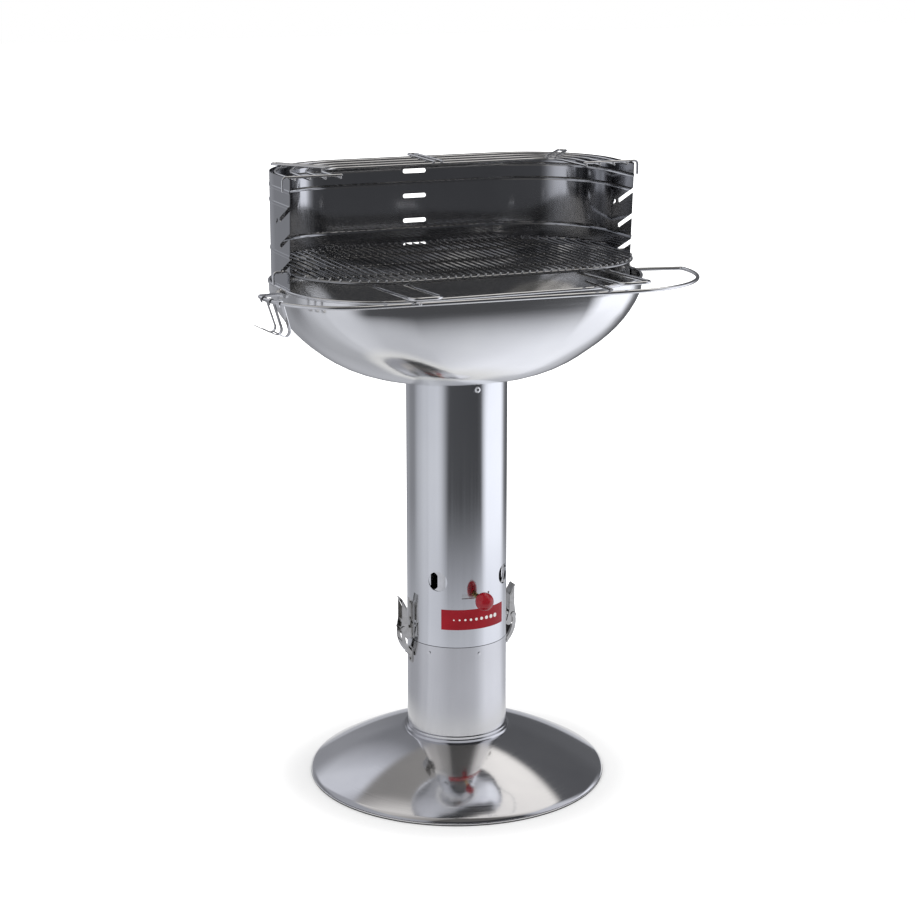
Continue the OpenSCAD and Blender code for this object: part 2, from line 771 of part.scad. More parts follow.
// Section of the windshield's sheet, x measured from its outer face, with three pressed beads
function bead(z, out) = [
    [0, z - bead_h / 2], [out * bead_flank_share, z - bead_h / 4], [out, z],
    [out * bead_flank_share, z + bead_h / 4], [0, z + bead_h / 2]
];
function shifted(p, dx) = [for (q = p) [q[0] + dx, q[1]]];
function reversed(p) = [for (i = [len(p) - 1 : -1 : 0]) p[i]];
module shield_section() {
    line = concat(
        [[0, shield_bottom_z]],
        [for (share = bead_shares) each bead(shield_bottom_z + share * shield_h, bead_out)],
        [[0, shield_top_z]]
    );
    polygon(concat(line, reversed(shifted(line, -shield_wall))));
}

module windshield() {
    cx = shield_half_x - shield_corner_r;
    cy = shield_back_y - shield_corner_r;
    color("slategray") difference() {
        union() {
            both_sides() {
                translate([cx, cy, 0]) rotate_extrude(angle = 90)
                    translate([shield_corner_r, 0]) shield_section();
                translate([shield_half_x, cy, 0]) rotate([90, 0, 0])
                    linear_extrude(cy + shield_front_top_y + shield_front_low_y) shield_section();
            }
            translate([-cx, shield_back_y, 0]) rotate([90, 0, 90]) linear_extrude(2 * cx) shield_section();
        }
        shield_front_cut();
        for (i = [0 : levels - 1]) shield_notch(notch_low_z + i * level_pitch);
        for (i = [0 : back_levels - 1]) back_slot(notch_low_z + slot_rise + i * level_pitch);
        keyholes();
        rail_hole();
    }
}

// Wedge that trims the windshield's front edge to its slope
module shield_front_cut() {
    far = 2 * (shield_front_top_y + shield_front_low_y);
    lean = (shield_front_top_y - shield_front_low_y) * cut / shield_h;
    translate([-shield_half_x - bead_out - cut, 0, 0]) rotate([90, 0, 90])
        linear_extrude(2 * (shield_half_x + bead_out + cut)) polygon([
            [-shield_front_low_y + lean, shield_bottom_z - cut],
            [-shield_front_top_y - lean, shield_top_z + cut],
            [-far, shield_top_z + cut], [-far, shield_bottom_z - cut]
        ]);
}

// Sloping notch through both sides, open at the front edge
module shield_notch(z) {
    w = 2 * (shield_half_x + bead_out + cut);
    l = 2 * (shield_front_top_y + notch_seat_y);
    translate([-w / 2, notch_seat_y, z]) rotate([-notch_angle, 0, 0]) {
        rotate([0, 90, 0]) cylinder(r = notch_w / 2, h = w);
        translate([0, -l, -notch_w / 2]) cube([w, l, notch_w]);
    }
}

module back_slot(z) {
    half = (back_slot_l - notch_w) / 2;
    translate([0, shield_back_y + bead_out + cut, z]) rotate([90, 0, 0]) {
        h = shield_wall + 2 * (bead_out + cut);
        for (x = [-half, half]) translate([x, 0, 0]) cylinder(r = notch_w / 2, h = h);
        translate([-half, -notch_w / 2, 0]) cube([2 * half, notch_w, h]);
    }
}

// Small keyhole through each side, behind the highest notch
module keyholes() {
    w = 2 * (shield_half_x + bead_out + cut);
    translate([-w / 2, keyhole_y, keyhole_z]) rotate([0, 90, 0]) cylinder(r = keyhole_r, h = w);
    translate([-w / 2, keyhole_y, keyhole_z]) rotate([45, 0, 0])
        translate([0, -keyhole_tail_r, -keyhole_drop]) cube([w, 2 * keyhole_tail_r, keyhole_drop]);
    translate([-w / 2, keyhole_y, keyhole_z]) rotate([45, 0, 0])
        translate([0, 0, -keyhole_drop]) rotate([0, 90, 0]) cylinder(r = keyhole_tail_r, h = w);
}

// Bolts through the windshield and the bowl that carry the rail's eyes, heads inside
module rail_bolts() {
    in_x = shield_half_x - shield_wall - weld_gap;
    color("silver") both_sides() translate([in_x, -rail_end_y, rail_hole_z]) rotate([0, 90, 0]) {
        translate([0, 0, -rail_nut_h]) cylinder(r = rail_nut_r, h = rail_nut_h, $fn = 6);
        translate([0, 0, -rail_nut_h])
            cylinder(r = rail_bolt_r, h = rail_nut_h + bowl_half_x - in_x + rail_bolt_past);
    }
}

// Nuts outside the rail's eyes
module rail_nuts() {
    color("silver") both_sides() translate([rail_eye_x + rail_eye_t / 2 + weld_gap, -rail_end_y, rail_hole_z])
        rotate([0, 90, 0]) difference() {
            cylinder(r = rail_nut_r, h = rail_nut_h, $fn = 6);
            translate([0, 0, -cut]) cylinder(r = rail_bolt_r + fit_gap, h = rail_nut_h + 2 * cut);
        }
}

// Bent wire rail round the front of the bowl, with a loop at each side and a flattened eye at each end
module front_rail() {
    color("silver") {
        wire(rail_points, rail_bends, rail_r);
        both_sides() translate([rail_eye_x - rail_eye_t / 2, -rail_end_y, rail_hole_z]) rotate([0, 90, 0])
            difference() {
                cylinder(r = rail_eye_r + rail_r, h = rail_eye_t);
                translate([0, 0, -cut]) cylinder(r = rail_bolt_r + seat_gap, h = rail_eye_t + 2 * cut);
            }
    }
}

// Middle line of the rail's front run at a given x
function rail_front_y(x) = -rail_front_left_y
    - (rail_front_right_y - rail_front_left_y) * (x + rail_left_far_x) / (rail_left_far_x + rail_right_x);

module rail_struts() {
    color("silver") for (x = [-strut_x, strut_x])
        rod([x, -strut_in_y, strut_z], [x, rail_front_y(x) - rail_r - strut_overhang, strut_z], strut_r);
}

// Middle line of the grid's frame at a given x
function frame_dip(x) = abs(x) <= grid_corner_cx ? grid_corner_r
    : sqrt(grid_corner_r * grid_corner_r - pow(abs(x) - grid_corner_cx, 2));
function frame_front(x) = -(grid_front_y - grid_corner_r) - frame_dip(x);
function frame_back(x) = grid_back_y - grid_corner_r + frame_dip(x);

module grid_frame() {
    side = grid_half_x - grid_wire_r;
    color("silver") wire_loop(-side, side, -grid_front_y, grid_back_y, grid_corner_r, grid_wire_r, grid_z);
}

module grid_bars() {
    count = floor(2 * (grid_half_x - grid_wire_r - grid_bar_edge) / grid_pitch);
    color("silver") for (i = [0 : count]) {
        x = (i - count / 2) * grid_pitch;
        near_y = frame_front(x) - grid_bar_over;
        rod([x, near_y, grid_bar_z], [x, frame_back(x) + grid_bar_over, grid_bar_z], grid_bar_r);
    }
}

// Cross wires butted between the frame's sides, the middle one in line with the notches
module grid_cross_wires() {
    side = grid_half_x - 2 * grid_wire_r - weld_gap;
    color("silver") {
        rod([-side, notch_seat_y, grid_z], [side, notch_seat_y, grid_z], grid_wire_r);
        for (s = grid_cross_shares) {
            y = s * (s < 0 ? grid_front_y : grid_back_y);
            x = side_x_at(y) - grid_wire_r - 2 * weld_gap;
            rod([-x, y, grid_z], [x, y, grid_z], grid_wire_r);
        }
    }
}

// Middle line of the frame's side at a given y, less what the slanted crossing needs
function side_dy(y) = y > 0 ? max(0, y - grid_back_y + grid_corner_r)
    : max(0, -y - grid_front_y + grid_corner_r);
function side_x_at(y) = let (dy = side_dy(y) + (side_dy(y) > 0 ? grid_wire_r : 0))
    grid_corner_cx + sqrt(pow(grid_corner_r - grid_wire_r, 2) - dy * dy);

// Bent ends that rest in the windshield's notches
module grid_side_hooks() {
    color("silver") both_sides() wire([
        [grid_half_x + weld_gap, notch_seat_y, grid_z],
        [grid_half_x + side_hook_out + grid_wire_r, notch_seat_y, grid_z],
        [grid_half_x + side_hook_out + grid_wire_r, notch_seat_y, grid_z - side_hook_drop]
    ], [0, side_hook_bend, 0], grid_wire_r);
}

module grid_handles() {
    low_z = grid_z - 2 * grid_wire_r - handle_tail_gap;
    y0 = -grid_front_y + handle_root;
    tilt = handle_rise / (handle_front_y - grid_front_y);
    color("silver") both_sides() {
        x0 = handle_x - handle_w / 2;
        x1 = handle_x + handle_w / 2;
        wire([
            [x0, y0, low_z - handle_root * tilt], [x0, -handle_front_y, low_z + handle_rise],
            [x1, -handle_front_y, low_z + handle_rise], [x1, y0, low_z - handle_root * tilt]
        ], [0, handle_bend, handle_bend, 0], grid_wire_r);
    }
}

module grid_back_tab() {
    y0 = grid_back_y + grid_wire_r + weld_gap;
    y1 = shield_back_y + tab_past - tab_wire_r;
    color("silver") wire([
        [-tab_w / 2, y0, grid_z], [-tab_w / 2, y1, grid_z], [tab_w / 2, y1, grid_z], [tab_w / 2, y0, grid_z]
    ], [0, tab_bend, tab_bend, 0], tab_wire_r);
}

// Charcoal grate, seated against the bowl's curved side
coal_a = bowl_angle(coal_z);
coal_half_x = bowl_x(coal_a) - (bowl_wall + coal_wire_r + coal_gap) / cos(bowl_lean_x(coal_a));
coal_half_y = bowl_y(coal_a) - (bowl_wall + coal_wire_r + coal_gap) / cos(bowl_lean_y(coal_a));
coal_corner_r = min(bowl_corner_r, bowl_y(coal_a) - bowl_min_flat) - (bowl_y(coal_a) - coal_half_y);
function coal_dip(x) = abs(x) <= coal_half_x - coal_corner_r ? coal_corner_r
    : sqrt(coal_corner_r * coal_corner_r - pow(abs(x) - coal_half_x + coal_corner_r, 2));

module coal_grate_frame() {
    color("dimgray")
        wire_loop(-coal_half_x, coal_half_x, -coal_half_y, coal_half_y, coal_corner_r, coal_wire_r, coal_z);
}

module coal_grate_bars() {
    count = floor(2 * (coal_half_x - coal_bar_edge) / coal_pitch);
    color("dimgray") for (i = [0 : count]) {
        x = (i - count / 2) * coal_pitch;
        y = coal_half_y - coal_corner_r + coal_dip(x);
        rod([x, -y, coal_bar_z], [x, y, coal_bar_z], coal_bar_r);
    }
}

// One of the rack's hoops, open at the front
module rack_hoop(i) {
    x = rack_inner_x + i * rack_pitch_x;
    y = rack_inner_y + i * rack_pitch_y;
    corner = rack_inner_corner_r + i * rack_corner_step;
    wire([
        [-x, -rack_front_y, rack_hoop_z], [-x, y, rack_hoop_z],
        [x, y, rack_hoop_z], [x, -rack_front_y, rack_hoop_z]
    ], [0, corner, corner, 0], rack_wire_r);
}

module rack_hoops() {
    color("silver") for (i = [0 : rack_hoops_n - 1]) rack_hoop(i);
}

// Front bars that rest on the windshield's edge and hook down outside it
module rack_front_bars() {
    out = shield_half_x + rack_bar_out;
    color("silver") both_sides() wire([
        [rack_inner_x - rack_wire_r, -rack_front_y + rack_wire_r, rack_bar_z],
        [out, -rack_front_y + rack_wire_r, rack_bar_z],
        [out, -rack_front_y + rack_wire_r, rack_bar_z - rack_hook_drop]
    ], [0, rack_bar_bend, 0], rack_wire_r);
}

module rack_ties() {
    diag = 1 - cos(45);
    inner_x = rack_inner_x - rack_inner_corner_r * diag;
    inner_y = rack_inner_y - rack_inner_corner_r * diag;
    outer_x = shield_half_x - shield_corner_r * diag;
    outer_y = shield_back_y - shield_corner_r * diag;
    color("silver") translate([0, 0, rack_bar_z]) {
        flat_tie([0, rack_inner_y], [0, shield_back_y]);
        both_sides() flat_tie([inner_x, inner_y], [outer_x, outer_y]);
    }
}

// Narrow two-wire tie across the hoops, from a towards b
module flat_tie(a, b) {
    u = unit(b - a);
    s = [-u[1], u[0]] * rack_tie_gap / 2;
    p = a - u * rack_tie_in;
    q = b + u * rack_tie_out;
    wire([
        concat(p + s, [0]), concat(q + s, [0]), concat(q - s, [0]), concat(p - s, [0])
    ], [0, rack_tie_bend, rack_tie_bend, 0], rack_wire_r);
}

// Place of a hook on the left loop's big bend, x outward from the loop
function flat(p) = [p[0], p[1]];
hook_in = unit(flat(rail_points[2] - rail_points[1]));
hook_out = unit(flat(rail_points[3] - rail_points[2]));
hook_side = unit(hook_out - hook_in * (hook_in * hook_out));
hook_centre = flat(rail_points[2]) - hook_in * rail_left_bend * tan(acos(hook_in * hook_out) / 2)
    + hook_side * rail_left_bend;
module hook_place(a) {
    translate([hook_centre[0], hook_centre[1], rail_z]) rotate(atan2(-hook_side[1], -hook_side[0]) + a)
        translate([rail_left_bend, 0, 0]) children();
}

// Points on an arc about a centre
function arc(c, r, from_angle, to_angle) = [for (k = [0 : hook_steps])
    let (a = from_angle + (to_angle - from_angle) * k / hook_steps) c + r * [cos(a), sin(a)]];

// Edge of a hook's strip from the bend over the rail down its leg, round the open J and up to the tip
hook_in_r = rail_r + hook_gap;
hook_j = [hook_bend_r - hook_in_r, hook_bend_r + hook_t - hook_drop];
hook_j_end = 180 + hook_turn;
hook_tail = hook_tail_l * [-sin(hook_j_end), cos(hook_j_end)];
function hook_edge(out) = concat(
    [[-hook_in_r - out, 0]], arc(hook_j, hook_bend_r + out, 180, hook_j_end),
    [hook_j + (hook_bend_r + out) * [cos(hook_j_end), sin(hook_j_end)] + hook_tail]
);

// Side view of a hook: a lip, a round bend over the rail, and the strip between its two edges
module hook_view() {
    over_r = hook_in_r + hook_t;
    translate([hook_in_r, -hook_lip_l]) square([hook_t, hook_lip_l]);
    intersection() {
        difference() {
            circle(r = over_r);
            circle(r = hook_in_r);
        }
        translate([-over_r, 0]) square([2 * over_r, over_r]);
    }
    polygon(concat(hook_edge(hook_t), reversed(hook_edge(0))));
}

// Flat strip bent to that view, its tail's tip narrowed from both sides
module hook_strip() {
    rotate([90, 0, 0]) rotate(-hook_lean) difference() {
        translate([0, 0, -hook_w / 2]) linear_extrude(hook_w) hook_view();
        for (m = [0, 1]) mirror([0, 0, m]) translate(concat(hook_j, [hook_w * hook_tip_share]))
            rotate(hook_j_end) translate([hook_bend_r - cut, hook_tail_l, 0]) rotate([-hook_taper, 0, 0])
                translate([0, -hook_tail_l, 0]) cube([hook_t + 2 * cut, 2 * hook_tail_l, hook_w]);
    }
}

module hook(i) {
    color("silver") hook_place(hook_angles[i]) hook_strip();
}

// Latch rivets: two through the plate and the upper pillar, one through the catch and the bucket
module latch_rivet_places_high() {
    for (z = [latch_plate_low_z + latch_plate_h - latch_rivet_drop, latch_plate_low_z + latch_plate_h / 2])
        translate([0, 0, z]) children();
}
module latch_rivet_place_low() {
    translate([0, 0, catch_plate_low_z + latch_rivet_drop]) children();
}

// Flat outline in x and z, as thick as the distance between two places along y
module upright(from_y, to_y) {
    translate([0, to_y, 0]) rotate([90, 0, 0]) linear_extrude(to_y - from_y) children();
}

// The same outline at both sides of the latch's middle
module upright_pair(from_y, to_y) {
    upright(from_y, to_y) children();
    upright(-to_y, -from_y) children();
}

// Plate of a latch with the two ears that carry the lever
module latch_plate() {
    a = asin(latch_plate_half_w / pillar_r);
    r0 = pillar_r + weld_gap;
    difference() {
        union() {
            sector_tube(r0, r0 + latch_t, latch_plate_low_z, latch_plate_h, -a, a);
            upright_pair(ear_in, ear_in + latch_t) {
                translate([pivot_x, latch_pivot_z]) circle(r = ear_r);
                translate([pillar_r + latch_t / 2, latch_pivot_z - ear_r + cut])
                    square([latch_pivot_out - latch_t / 2, ear_h]);
            }
        }
        pin_hole(pivot_x, latch_pivot_z, latch_pin_r + hole_gap);
        latch_rivet_places_high()
            radial_pin(0, 0, rivet_r + hole_gap, pillar_r - cut, pillar_r + latch_t + cut);
    }
}

module pin_hole(x, z, r) {
    translate([x, -bow_out - cut, z]) rotate([-90, 0, 0]) cylinder(r = r, h = 2 * (bow_out + cut));
}

module latch_plates() {
    color("silver") both_sides() latch_plate();
}

// Catch on the bucket, with the nose that the bow hooks under
module latch_catch() {
    a = asin(catch_half_w / pillar_r);
    r0 = pillar_r + weld_gap;
    nose_z = bar_z + bar_r + bar_gap;
    difference() {
        union() {
            sector_tube(r0, r0 + latch_t, catch_plate_low_z, catch_plate_h, -a, a);
            upright(-catch_half_w, catch_half_w) translate([pillar_r + latch_t / 2, nose_z])
                square([catch_nose_l - latch_t / 2, latch_t]);
        }
        latch_rivet_place_low()
            radial_pin(0, 0, rivet_r + hole_gap, pillar_r - cut, pillar_r + latch_t + cut);
    }
}

module latch_catches() {
    color("silver") both_sides() latch_catch();
}

module latch_pins() {
    color("gray") both_sides() translate([pivot_x, -cheek_out, latch_pivot_z]) rotate([-90, 0, 0])
        cylinder(r = latch_pin_r, h = 2 * cheek_out);
}

module latch_rivet() {
    radial_pin(0, 0, rivet_r, pillar_in_r - rivet_head_h, pillar_r + latch_t + rivet_head_h);
    radial_pin(0, 0, rivet_head_r, pillar_r + latch_t + 2 * weld_gap, pillar_r + latch_t + rivet_head_h);
    radial_pin(0, 0, rivet_head_r, pillar_in_r - rivet_head_h, pillar_in_r - weld_gap);
}

module latch_rivets() {
    color("gray") both_sides() {
        latch_rivet_places_high() latch_rivet();
        latch_rivet_place_low() latch_rivet();
    }
}

// Rings of a round tube that follows a list of points
function coil_point(t) = [
    pivot_x + spring_r * cos(360 * t),
    (t / spring_turns - 0.5) * spring_turns * spring_pitch,
    latch_pivot_z + spring_r * sin(360 * t)
];
function tube_ring(p, u, r, sides) = let (
    a = unit(cross(u, [0, 1, 0])),
    b = cross(u, a)
) [for (k = [0 : sides - 1]) p + r * (a * cos(360 * k / sides) + b * sin(360 * k / sides))];

module latch_spring() {
    pts = [for (k = [0 : spring_turns * spring_steps]) coil_point(k / spring_steps)];
    n = len(pts);
    loft([for (i = [0 : n - 1])
        tube_ring(pts[i], unit(pts[min(i + 1, n - 1)] - pts[max(i - 1, 0)]), spring_wire_r, spring_sides)]);
}

module latch_springs() {
    color("gray") both_sides() latch_spring();
}

// Lever: two cheeks outside the ears, joined by a web that ends in the finger tab
module latch_lever() {
    difference() {
        union() {
            upright_pair(cheek_in, cheek_out) {
                translate([pivot_x, latch_pivot_z]) circle(r = ear_r);
                translate([link_x, link_z]) circle(r = eye_r);
                lever_outline(cheek_shares);
            }
            upright(-cheek_out, cheek_out) lever_outline(web_shares);
        }
        pin_hole(pivot_x, latch_pivot_z, latch_pin_r + hole_gap);
        pin_hole(link_x, link_z, latch_pin_r + hole_gap);
    }
}

module lever_outline(shares) {
    polygon([for (q = shares) [pivot_x + q[0] * link_out, latch_pivot_z + q[1] * lever_h]]);
}

module latch_link_pin() {
    translate([link_x, -bow_out, link_z]) rotate([-90, 0, 0]) cylinder(r = latch_pin_r, h = 2 * bow_out);
}

// Bow: two curved arms from the lever to the bar under the catch, closed by a strap
module latch_bow() {
    difference() {
        union() {
            intersection() {
                union() {
                    upright_pair(bow_in, bow_out) bow_arm();
                    upright(-bow_out, bow_out) bow_strap();
                }
                translate([pillar_r + bow_clear, -bow_out - cut, bow_low_z])
                    cube([bow_mid_r, 2 * (bow_out + cut), 2 * bow_mid_r]);
            }
            translate([bar_x, -bow_out, bar_z]) rotate([-90, 0, 0]) cylinder(r = bar_r, h = 2 * bow_out);
        }
        pin_hole(link_x, link_z, latch_pin_r + hole_gap);
    }
}

module bow_arm() {
    translate([link_x, link_z]) circle(r = eye_r);
    intersection() {
        translate([bow_cx, bow_cz]) difference() {
            circle(r = bow_mid_r + bow_half_w);
            circle(r = bow_mid_r - bow_half_w);
        }
        translate([bow_cx, bow_low_z]) square([2 * bow_mid_r, link_z - bow_low_z]);
    }
}

module bow_strap() {
    intersection() {
        translate([bow_cx, bow_cz]) difference() {
            circle(r = bow_mid_r + bow_half_w);
            circle(r = bow_mid_r + bow_half_w - latch_t);
        }
        translate([bow_cx, bow_low_z]) square([2 * bow_mid_r, bow_strap_h]);
    }
}

module latch_lever_right() {
    color("silver") latch_lever();
}

module latch_link_pin_right() {
    color("gray") latch_link_pin();
}

module latch_bow_right() {
    color("silver") latch_bow();
}

module latch_lever_left() {
    color("silver") mirror([1, 0, 0]) latch_lever();
}

module latch_link_pin_left() {
    color("gray") mirror([1, 0, 0]) latch_link_pin();
}

module latch_bow_left() {
    color("silver") mirror([1, 0, 0]) latch_bow();
}

foot_dome();
floor_ring();
foot_collar();
foot_bolts();
foot_nuts();
ash_bucket();
bucket_spigot();
spigot_rivets();
upper_pillar();
air_ring();
air_stem();
air_knob();
air_ring_rests();
label_plate();
bowl();
bowl_rim();
bowl_collar();
bowl_screws();
windshield();
rail_bolts();
rail_nuts();
front_rail();
rail_struts();
grid_frame();
grid_bars();
grid_cross_wires();
grid_side_hooks();
grid_handles();
grid_back_tab();
coal_grate_frame();
coal_grate_bars();
rack_hoops();
rack_front_bars();
rack_ties();
hook(0);  // hook_1
hook(1);  // hook_2
hook(2);  // hook_3
latch_plates();
latch_catches();
latch_pins();
latch_rivets();
latch_springs();
latch_lever_right();
latch_link_pin_right();
latch_bow_right();
latch_lever_left();
latch_link_pin_left();
latch_bow_left();
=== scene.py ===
# Pedestal charcoal barbecue: finishes, small made pieces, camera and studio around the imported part.
import bpy
import math
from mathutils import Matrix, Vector


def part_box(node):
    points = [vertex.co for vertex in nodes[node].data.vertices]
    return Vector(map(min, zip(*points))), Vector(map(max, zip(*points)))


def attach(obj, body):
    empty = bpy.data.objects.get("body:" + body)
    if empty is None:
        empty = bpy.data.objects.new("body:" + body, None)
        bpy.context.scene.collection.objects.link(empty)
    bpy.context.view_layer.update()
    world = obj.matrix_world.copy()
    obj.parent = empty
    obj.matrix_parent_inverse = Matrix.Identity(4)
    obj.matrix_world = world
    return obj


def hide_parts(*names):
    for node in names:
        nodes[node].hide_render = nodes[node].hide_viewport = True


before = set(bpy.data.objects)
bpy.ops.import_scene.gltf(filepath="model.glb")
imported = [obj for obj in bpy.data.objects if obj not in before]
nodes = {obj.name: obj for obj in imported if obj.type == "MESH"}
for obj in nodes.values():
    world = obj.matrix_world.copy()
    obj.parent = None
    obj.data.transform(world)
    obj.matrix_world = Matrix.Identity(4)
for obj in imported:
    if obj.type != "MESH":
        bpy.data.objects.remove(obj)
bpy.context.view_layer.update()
scene = bpy.context.scene
scene.view_settings.view_transform = "Standard"

MM = 0.001
# Lower edge of the upper tube, where it meets the ash bucket
SEAM_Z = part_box("upper_pillar")[0].z
# How dark the painted shade in the seam gets at its darkest
SEAM_SHADE_DARKEST = 0.03
# Where most of a noise's values lie, as read for roughness and for colour
ROUGH_FROM, TINT_FROM = (0.3, 0.7), (0.35, 0.65)
# Layout of a grain's nodes
GRAIN_COLUMNS, ROW_STEP = (-1300, -1100, -900), -300

# Finishes
def new_finish(name, metallic, roughness, color):
    m = bpy.data.materials.new(name)
    m.use_nodes = True
    b = m.node_tree.nodes["Principled BSDF"]
    b.inputs["Metallic"].default_value = metallic
    b.inputs["Roughness"].default_value = roughness
    b.inputs["Base Color"].default_value = (*color, 1)
    return m, m.node_tree, b


def grain(nt, scale, detail=4, row=0):
    """Noise on Object coordinates, stretched by its scale along each axis."""
    tc = nt.nodes.new("ShaderNodeTexCoord")
    mp = nt.nodes.new("ShaderNodeMapping")
    ns = nt.nodes.new("ShaderNodeTexNoise")
    mp.inputs["Scale"].default_value = scale
    ns.inputs["Scale"].default_value = 1
    ns.inputs["Detail"].default_value = detail
    nt.links.new(tc.outputs["Object"], mp.inputs["Vector"])
    nt.links.new(mp.outputs["Vector"], ns.inputs["Vector"])
    for node, column in zip((tc, mp, ns), GRAIN_COLUMNS):
        node.location = (column, row * ROW_STEP)
    return ns.outputs["Fac"]


def radius_grain(nt, rings, detail=4):
    """Noise that runs round the Z axis, as spinning marks do."""
    tc = nt.nodes.new("ShaderNodeTexCoord")
    sep = nt.nodes.new("ShaderNodeSeparateXYZ")
    com = nt.nodes.new("ShaderNodeCombineXYZ")
    ln = nt.nodes.new("ShaderNodeVectorMath")
    ln.operation = "LENGTH"
    ns = nt.nodes.new("ShaderNodeTexNoise")
    ns.noise_dimensions = "1D"
    ns.inputs["Scale"].default_value = rings
    ns.inputs["Detail"].default_value = detail
    nt.links.new(tc.outputs["Object"], sep.inputs[0])
    nt.links.new(sep.outputs["X"], com.inputs["X"])
    nt.links.new(sep.outputs["Y"], com.inputs["Y"])
    nt.links.new(com.outputs[0], ln.inputs[0])
    nt.links.new(ln.outputs["Value"], ns.inputs["W"])
    return ns.outputs["Fac"]


def map_range(nt, value, start, end, low, high):
    """Node that maps start and end onto low and high."""
    mr = nt.nodes.new("ShaderNodeMapRange")
    for name, v in (("From Min", start), ("From Max", end), ("To Min", low), ("To Max", high)):
        mr.inputs[name].default_value = v
    nt.links.new(value, mr.inputs["Value"])
    return mr


def spread(nt, fac, low, high):
    """Maps a grain onto a range of values."""
    return map_range(nt, fac, *ROUGH_FROM, low, high).outputs["Result"]


def tint(nt, fac, dark, light):
    """Maps a grain onto two colours."""
    r = nt.nodes.new("ShaderNodeValToRGB")
    for e, place, color in zip(r.color_ramp.elements, TINT_FROM, (dark, light)):
        e.position = place
        e.color = (*color, 1)
    nt.links.new(fac, r.inputs["Fac"])
    return r.outputs["Color"]


def relief(nt, bsdf, fac, strength, distance, below=None):
    """Bump from a grain, on top of another bump if one is given."""
    bp = nt.nodes.new("ShaderNodeBump")
    bp.inputs["Strength"].default_value = strength
    bp.inputs["Distance"].default_value = distance
    nt.links.new(fac, bp.inputs["Height"])
    if below is not None:
        nt.links.new(below.outputs["Normal"], bp.inputs["Normal"])
    nt.links.new(bp.outputs["Normal"], bsdf.inputs["Normal"])
    return bp


def seam_shade_line(nt, color, low, high):
    """Paints shade on the cut edges of two tubes where they meet, darkest right at the seam."""
    tc = nt.nodes.new("ShaderNodeTexCoord")
    sep = nt.nodes.new("ShaderNodeSeparateXYZ")
    nt.links.new(tc.outputs["Object"], sep.inputs[0])
    ramp = map_range(nt, sep.outputs["Z"], low, high, SEAM_SHADE_DARKEST, 1)
    mix = nt.nodes.new("ShaderNodeMix")
    mix.data_type = "RGBA"
    mix.blend_type = "MULTIPLY"
    mix.inputs["Factor"].default_value = 1
    nt.links.new(color, mix.inputs["A"])
    nt.links.new(ramp.outputs["Result"], mix.inputs["B"])
    return mix.outputs["Result"]


def polished_tube():
    m, nt, b = new_finish("polished_tube", 1, 0.1, (0.8, 0.81, 0.82))
    draw = grain(nt, (260, 260, 1.5), 5)
    cloud = grain(nt, (7, 7, 4), 3, row=1)
    nt.links.new(spread(nt, draw, 0.07, 0.15), b.inputs["Roughness"])
    sheen = tint(nt, cloud, (0.74, 0.75, 0.77), (0.82, 0.83, 0.84))
    # Painted shade in the seam, along the tube's lowest millimetre
    seam_shaded = seam_shade_line(nt, sheen, SEAM_Z + 0.5 * MM, SEAM_Z + 0.9 * MM)
    nt.links.new(seam_shaded, b.inputs["Base Color"])
    wave = relief(nt, b, cloud, 0.1, MM)
    relief(nt, b, draw, 0.04, 0.2 * MM, wave)
    return m


def satin_bucket():
    m, nt, b = new_finish("satin_bucket", 1, 0.2, (0.7, 0.7, 0.71))
    draw = grain(nt, (300, 300, 2.5), 5)
    cloud = grain(nt, (9, 9, 6), 3, row=1)
    nt.links.new(spread(nt, draw, 0.14, 0.2), b.inputs["Roughness"])
    sheen = tint(nt, cloud, (0.67, 0.67, 0.68), (0.73, 0.73, 0.74))
    # Painted shade in the seam, along the bucket's top edge
    seam_shaded = seam_shade_line(nt, sheen, SEAM_Z - 0.1 * MM, SEAM_Z - 0.4 * MM)
    nt.links.new(seam_shaded, b.inputs["Base Color"])
    wave = relief(nt, b, cloud, 0.1, MM)
    relief(nt, b, draw, 0.06, 0.2 * MM, wave)
    return m


def spun_foot():
    m, nt, b = new_finish("spun_foot", 1, 0.08, (0.72, 0.72, 0.73))
    rings = radius_grain(nt, 420)
    cloud = grain(nt, (6, 6, 6), 3, row=1)
    nt.links.new(spread(nt, rings, 0.06, 0.13), b.inputs["Roughness"])
    nt.links.new(tint(nt, cloud, (0.66, 0.66, 0.68), (0.76, 0.76, 0.77)), b.inputs["Base Color"])
    wave = relief(nt, b, cloud, 0.1, MM)
    relief(nt, b, rings, 0.03, 0.2 * MM, wave)
    return m


def satin_bowl():
    m, nt, b = new_finish("satin_bowl", 1, 0.14, (0.86, 0.86, 0.86))
    brush = grain(nt, (9, 9, 160), 5)
    cloud = grain(nt, (8, 8, 8), 3, row=1)
    nt.links.new(spread(nt, brush, 0.12, 0.17), b.inputs["Roughness"])
    nt.links.new(tint(nt, cloud, (0.83, 0.83, 0.83), (0.88, 0.88, 0.87)), b.inputs["Base Color"])
    wave = relief(nt, b, cloud, 0.08, MM)
    relief(nt, b, brush, 0.006, 0.1 * MM, wave)
    return m


def brushed_shield():
    m, nt, b = new_finish("brushed_shield", 1, 0.09, (0.54, 0.545, 0.56))
    brush = grain(nt, (300, 300, 12), 5)
    cloud = grain(nt, (9, 9, 6), 3, row=1)
    nt.links.new(spread(nt, brush, 0.07, 0.11), b.inputs["Roughness"])
    nt.links.new(tint(nt, cloud, (0.52, 0.525, 0.54), (0.57, 0.575, 0.59)), b.inputs["Base Color"])
    relief(nt, b, cloud, 0.04, MM)
    return m


